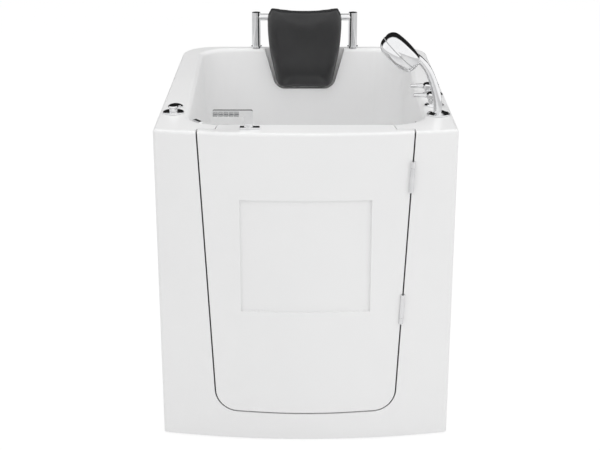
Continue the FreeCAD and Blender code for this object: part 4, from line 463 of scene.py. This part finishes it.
def swollen_pad(source):
    """A copy of the CAD pad, remeshed evenly, blown up against its back and smoothed."""
    item = bpy.data.objects.new("headrest_cushion", nodes[source].data.copy())
    item.data.transform(nodes[source].matrix_world)
    bpy.context.scene.collection.objects.link(item)
    remesh = item.modifiers.new("even", "REMESH")
    remesh.mode = "VOXEL"
    remesh.voxel_size = PAD_VOXEL
    keep_modified(item)
    swell(item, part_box(source)[1].y)
    smooth = item.modifiers.new("soft", "SMOOTH")
    smooth.iterations = PAD_SMOOTHING
    keep_modified(item)
    round_off = item.modifiers.new("fine", "SUBSURF")
    round_off.levels = PAD_SUBDIVISIONS
    round_off.render_levels = PAD_SUBDIVISIONS
    return item


def add_headrest():
    """The swollen pad in place of the CAD pad, with piping round its edge."""
    pad = swollen_pad("headrest_pad")
    pad.data.materials.clear()
    pad.data.materials.append(materials["black_leatherette"])
    pad.data.shade_smooth()
    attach(pad, "headrest")
    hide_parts("headrest_pad")
    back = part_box("headrest_pad")[1].y
    loop = even_loop(edge_loop(pad.data, back - PIPING_FROM_BACK), PIPING_POINTS, PIPING_EASING)
    piece("headrest_piping", closed_tube(loop, PIPING_RADIUS), "black_leatherette", "headrest")


# Small trim

def add_latch_ribs():
    """Two broken lines of low ribs on the front of the latch arm."""
    low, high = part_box("latch_handle")
    shape = bmesh.new()
    for drop, height in RIB_ROWS:
        for i in range(RIB_COUNT):
            made = bmesh.ops.create_cube(shape, size=1.0)["verts"]
            centre = Vector((low.x + RIB_START + RIB_STEP * i + RIB_LENGTH / 2, low.y, high.z - drop))
            bmesh.ops.scale(shape, verts=made, vec=(RIB_LENGTH, RIB_RAISE * 2, height))
            bmesh.ops.translate(shape, verts=made, vec=centre)
    piece("latch_grip_ribs", mesh_from(shape, "latch_grip_ribs"), "grey_paint", "latch")


def add_rolled_rims():
    """A rolled rim on the deck round the foot of each round fitting."""
    for name in ROLLED_NODES:
        low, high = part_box(name)
        centre = Vector(((low.x + high.x) / 2, (low.y + high.y) / 2, RIM + ROLL_RADIUS))
        radius = (high.x - low.x) / 2 - ROLL_RADIUS / 2
        loop = ring_points(centre, X_AXIS, Y_AXIS, radius, ROLL_POINTS)
        piece(name + "_rim", closed_tube(loop, ROLL_RADIUS), "chrome", "tub")


def add_spray_head_trim():
    """A slim seam ring round the spray head, and soft tips in rings set a little into its plate."""
    face = nodes["hand_shower_face"]
    tilt = math.radians(SPRAY_TILT_DEG)
    outward = Vector((-math.sin(tilt), 0.0, -math.cos(tilt)))
    across = Vector((math.cos(tilt), 0.0, -math.sin(tilt)))
    corners = [face.matrix_world @ vertex.co for vertex in face.data.vertices]
    heights = [corner.dot(outward) for corner in corners]
    back_rim = [corner for corner, height in zip(corners, heights) if height < min(heights) + SPRAY_RIM_DEPTH]
    centre = sum(back_rim, Vector()) / len(back_rim)
    head_radius = max((corner - centre).length for corner in back_rim)
    seam = ring_points(centre, across, Y_AXIS, head_radius, SEAM_POINTS)
    piece("spray_head_seam", closed_tube(seam, SEAM_RADIUS), "grey_paint", "hand_shower")
    rise = max(heights) - SPRAY_PLATE_SINK - centre.dot(outward) + SPRAY_TIP_LENGTH / 2 - SPRAY_TIP_SINK
    turn = outward.to_track_quat("Z", "Y").to_matrix()
    foot_radius = SPRAY_TIP_RADIUS * SPRAY_TIP_FLARE
    shape = bmesh.new()
    for radius, count in SPRAY_RINGS:
        for spot in ring_points(centre, across, Y_AXIS, radius, count):
            tip = bmesh.ops.create_cone(shape, cap_ends=True, segments=SPRAY_TIP_SIDES, radius1=foot_radius,
                                        radius2=SPRAY_TIP_RADIUS, depth=SPRAY_TIP_LENGTH)["verts"]
            bmesh.ops.rotate(shape, verts=tip, cent=(0.0, 0.0, 0.0), matrix=turn)
            bmesh.ops.translate(shape, verts=tip, vec=spot + outward * rise)
    piece("spray_tips", mesh_from(shape, "spray_tips"), "black_rubber", "hand_shower")


# Camera, floor and light

def add_camera():
    """The camera, with the focal length that the photograph's perspective gives."""
    camera = bpy.data.cameras.new("camera")
    camera.sensor_width = SENSOR_MM
    camera.lens = FOCAL_PIXELS * SENSOR_MM / IMAGE_PIXELS
    item = bpy.data.objects.new("camera", camera)
    item.location = CAMERA_PLACE
    item.rotation_euler = (math.radians(90.0 - CAMERA_PITCH_DEG), 0.0, 0.0)
    bpy.context.scene.collection.objects.link(item)
    bpy.context.scene.camera = item


def add_floor():
    """A pale floor that takes the object's shadow, and that the camera sees nearly white."""
    shape = bmesh.new()
    bmesh.ops.create_grid(shape, x_segments=FLOOR_CELLS, y_segments=FLOOR_CELLS, size=FLOOR_SIZE / 2)
    mesh = mesh_from(shape, "floor")
    floor = bpy.data.objects.new("floor", mesh)
    bpy.context.scene.collection.objects.link(floor)
    material, tree, main = shader("pale_floor")
    vary(tree, main, "Base Color", noise(tree, scale=0.8, detail=3.0), FLOOR_STOPS)
    main.inputs["Roughness"].default_value = FLOOR_ROUGHNESS
    glow = tree.nodes.new("ShaderNodeEmission")
    glow.inputs["Strength"].default_value = FLOOR_GLOW
    path = tree.nodes.new("ShaderNodeLightPath")
    share = tree.nodes.new("ShaderNodeMath")
    share.operation = "MULTIPLY"
    share.inputs[1].default_value = FLOOR_GLOW_SHARE
    tree.links.new(path.outputs["Is Camera Ray"], share.inputs[0])
    surface = mixed(tree, share.outputs["Value"], main.outputs["BSDF"], glow.outputs["Emission"])
    tree.links.new(surface, tree.nodes["Material Output"].inputs["Surface"])
    mesh.materials.append(material)


def background(tree, strength):
    """A white background light."""
    shade = tree.nodes.new("ShaderNodeBackground")
    shade.inputs["Color"].default_value = (1.0, 1.0, 1.0, 1.0)
    shade.inputs["Strength"].default_value = strength
    return shade


def add_world():
    """White to the camera, even light, and in reflections a white room with a dark far wall."""
    world = bpy.data.worlds.new("studio")
    bpy.context.scene.world = world
    world.use_nodes = True
    tree = world.node_tree
    tree.nodes.clear()
    towards = tree.nodes.new("ShaderNodeVectorMath")
    towards.operation = "DOT_PRODUCT"
    towards.inputs[1].default_value = DARK_WALL_AXIS
    tree.links.new(tree.nodes.new("ShaderNodeTexCoord").outputs["Generated"], towards.inputs[0])
    even = background(tree, LIGHT_STRENGTH)
    room = background(tree, REFLECTION_STRENGTH)
    tree.links.new(ramp(tree, towards.outputs["Value"], ROOM_STOPS), room.inputs["Color"])
    backdrop = background(tree, BACKDROP_STRENGTH)
    path = tree.nodes.new("ShaderNodeLightPath")
    lit = mixed(tree, path.outputs["Is Glossy Ray"], even.outputs["Background"], room.outputs["Background"])
    surface = mixed(tree, path.outputs["Is Camera Ray"], lit, backdrop.outputs["Background"])
    output = tree.nodes.new("ShaderNodeOutputWorld")
    tree.links.new(surface, output.inputs["Surface"])


def add_lamp(name, place, aim, size, power):
    """A round soft lamp that reflections don't show."""
    lamp = bpy.data.lights.new(name, "AREA")
    lamp.shape = "DISK"
    lamp.size = size
    lamp.energy = power
    item = bpy.data.objects.new(name, lamp)
    item.location = place
    item.rotation_euler = (Vector(aim) - Vector(place)).to_track_quat("-Z", "Y").to_euler()
    item.visible_glossy = False
    bpy.context.scene.collection.objects.link(item)


dress_nodes()
add_headrest()
add_latch_ribs()
add_rolled_rims()
add_spray_head_trim()
add_camera()
add_floor()
add_world()
for lamp_values in LAMPS:
    add_lamp(*lamp_values)

bpy.context.scene.view_settings.view_transform = "Standard"
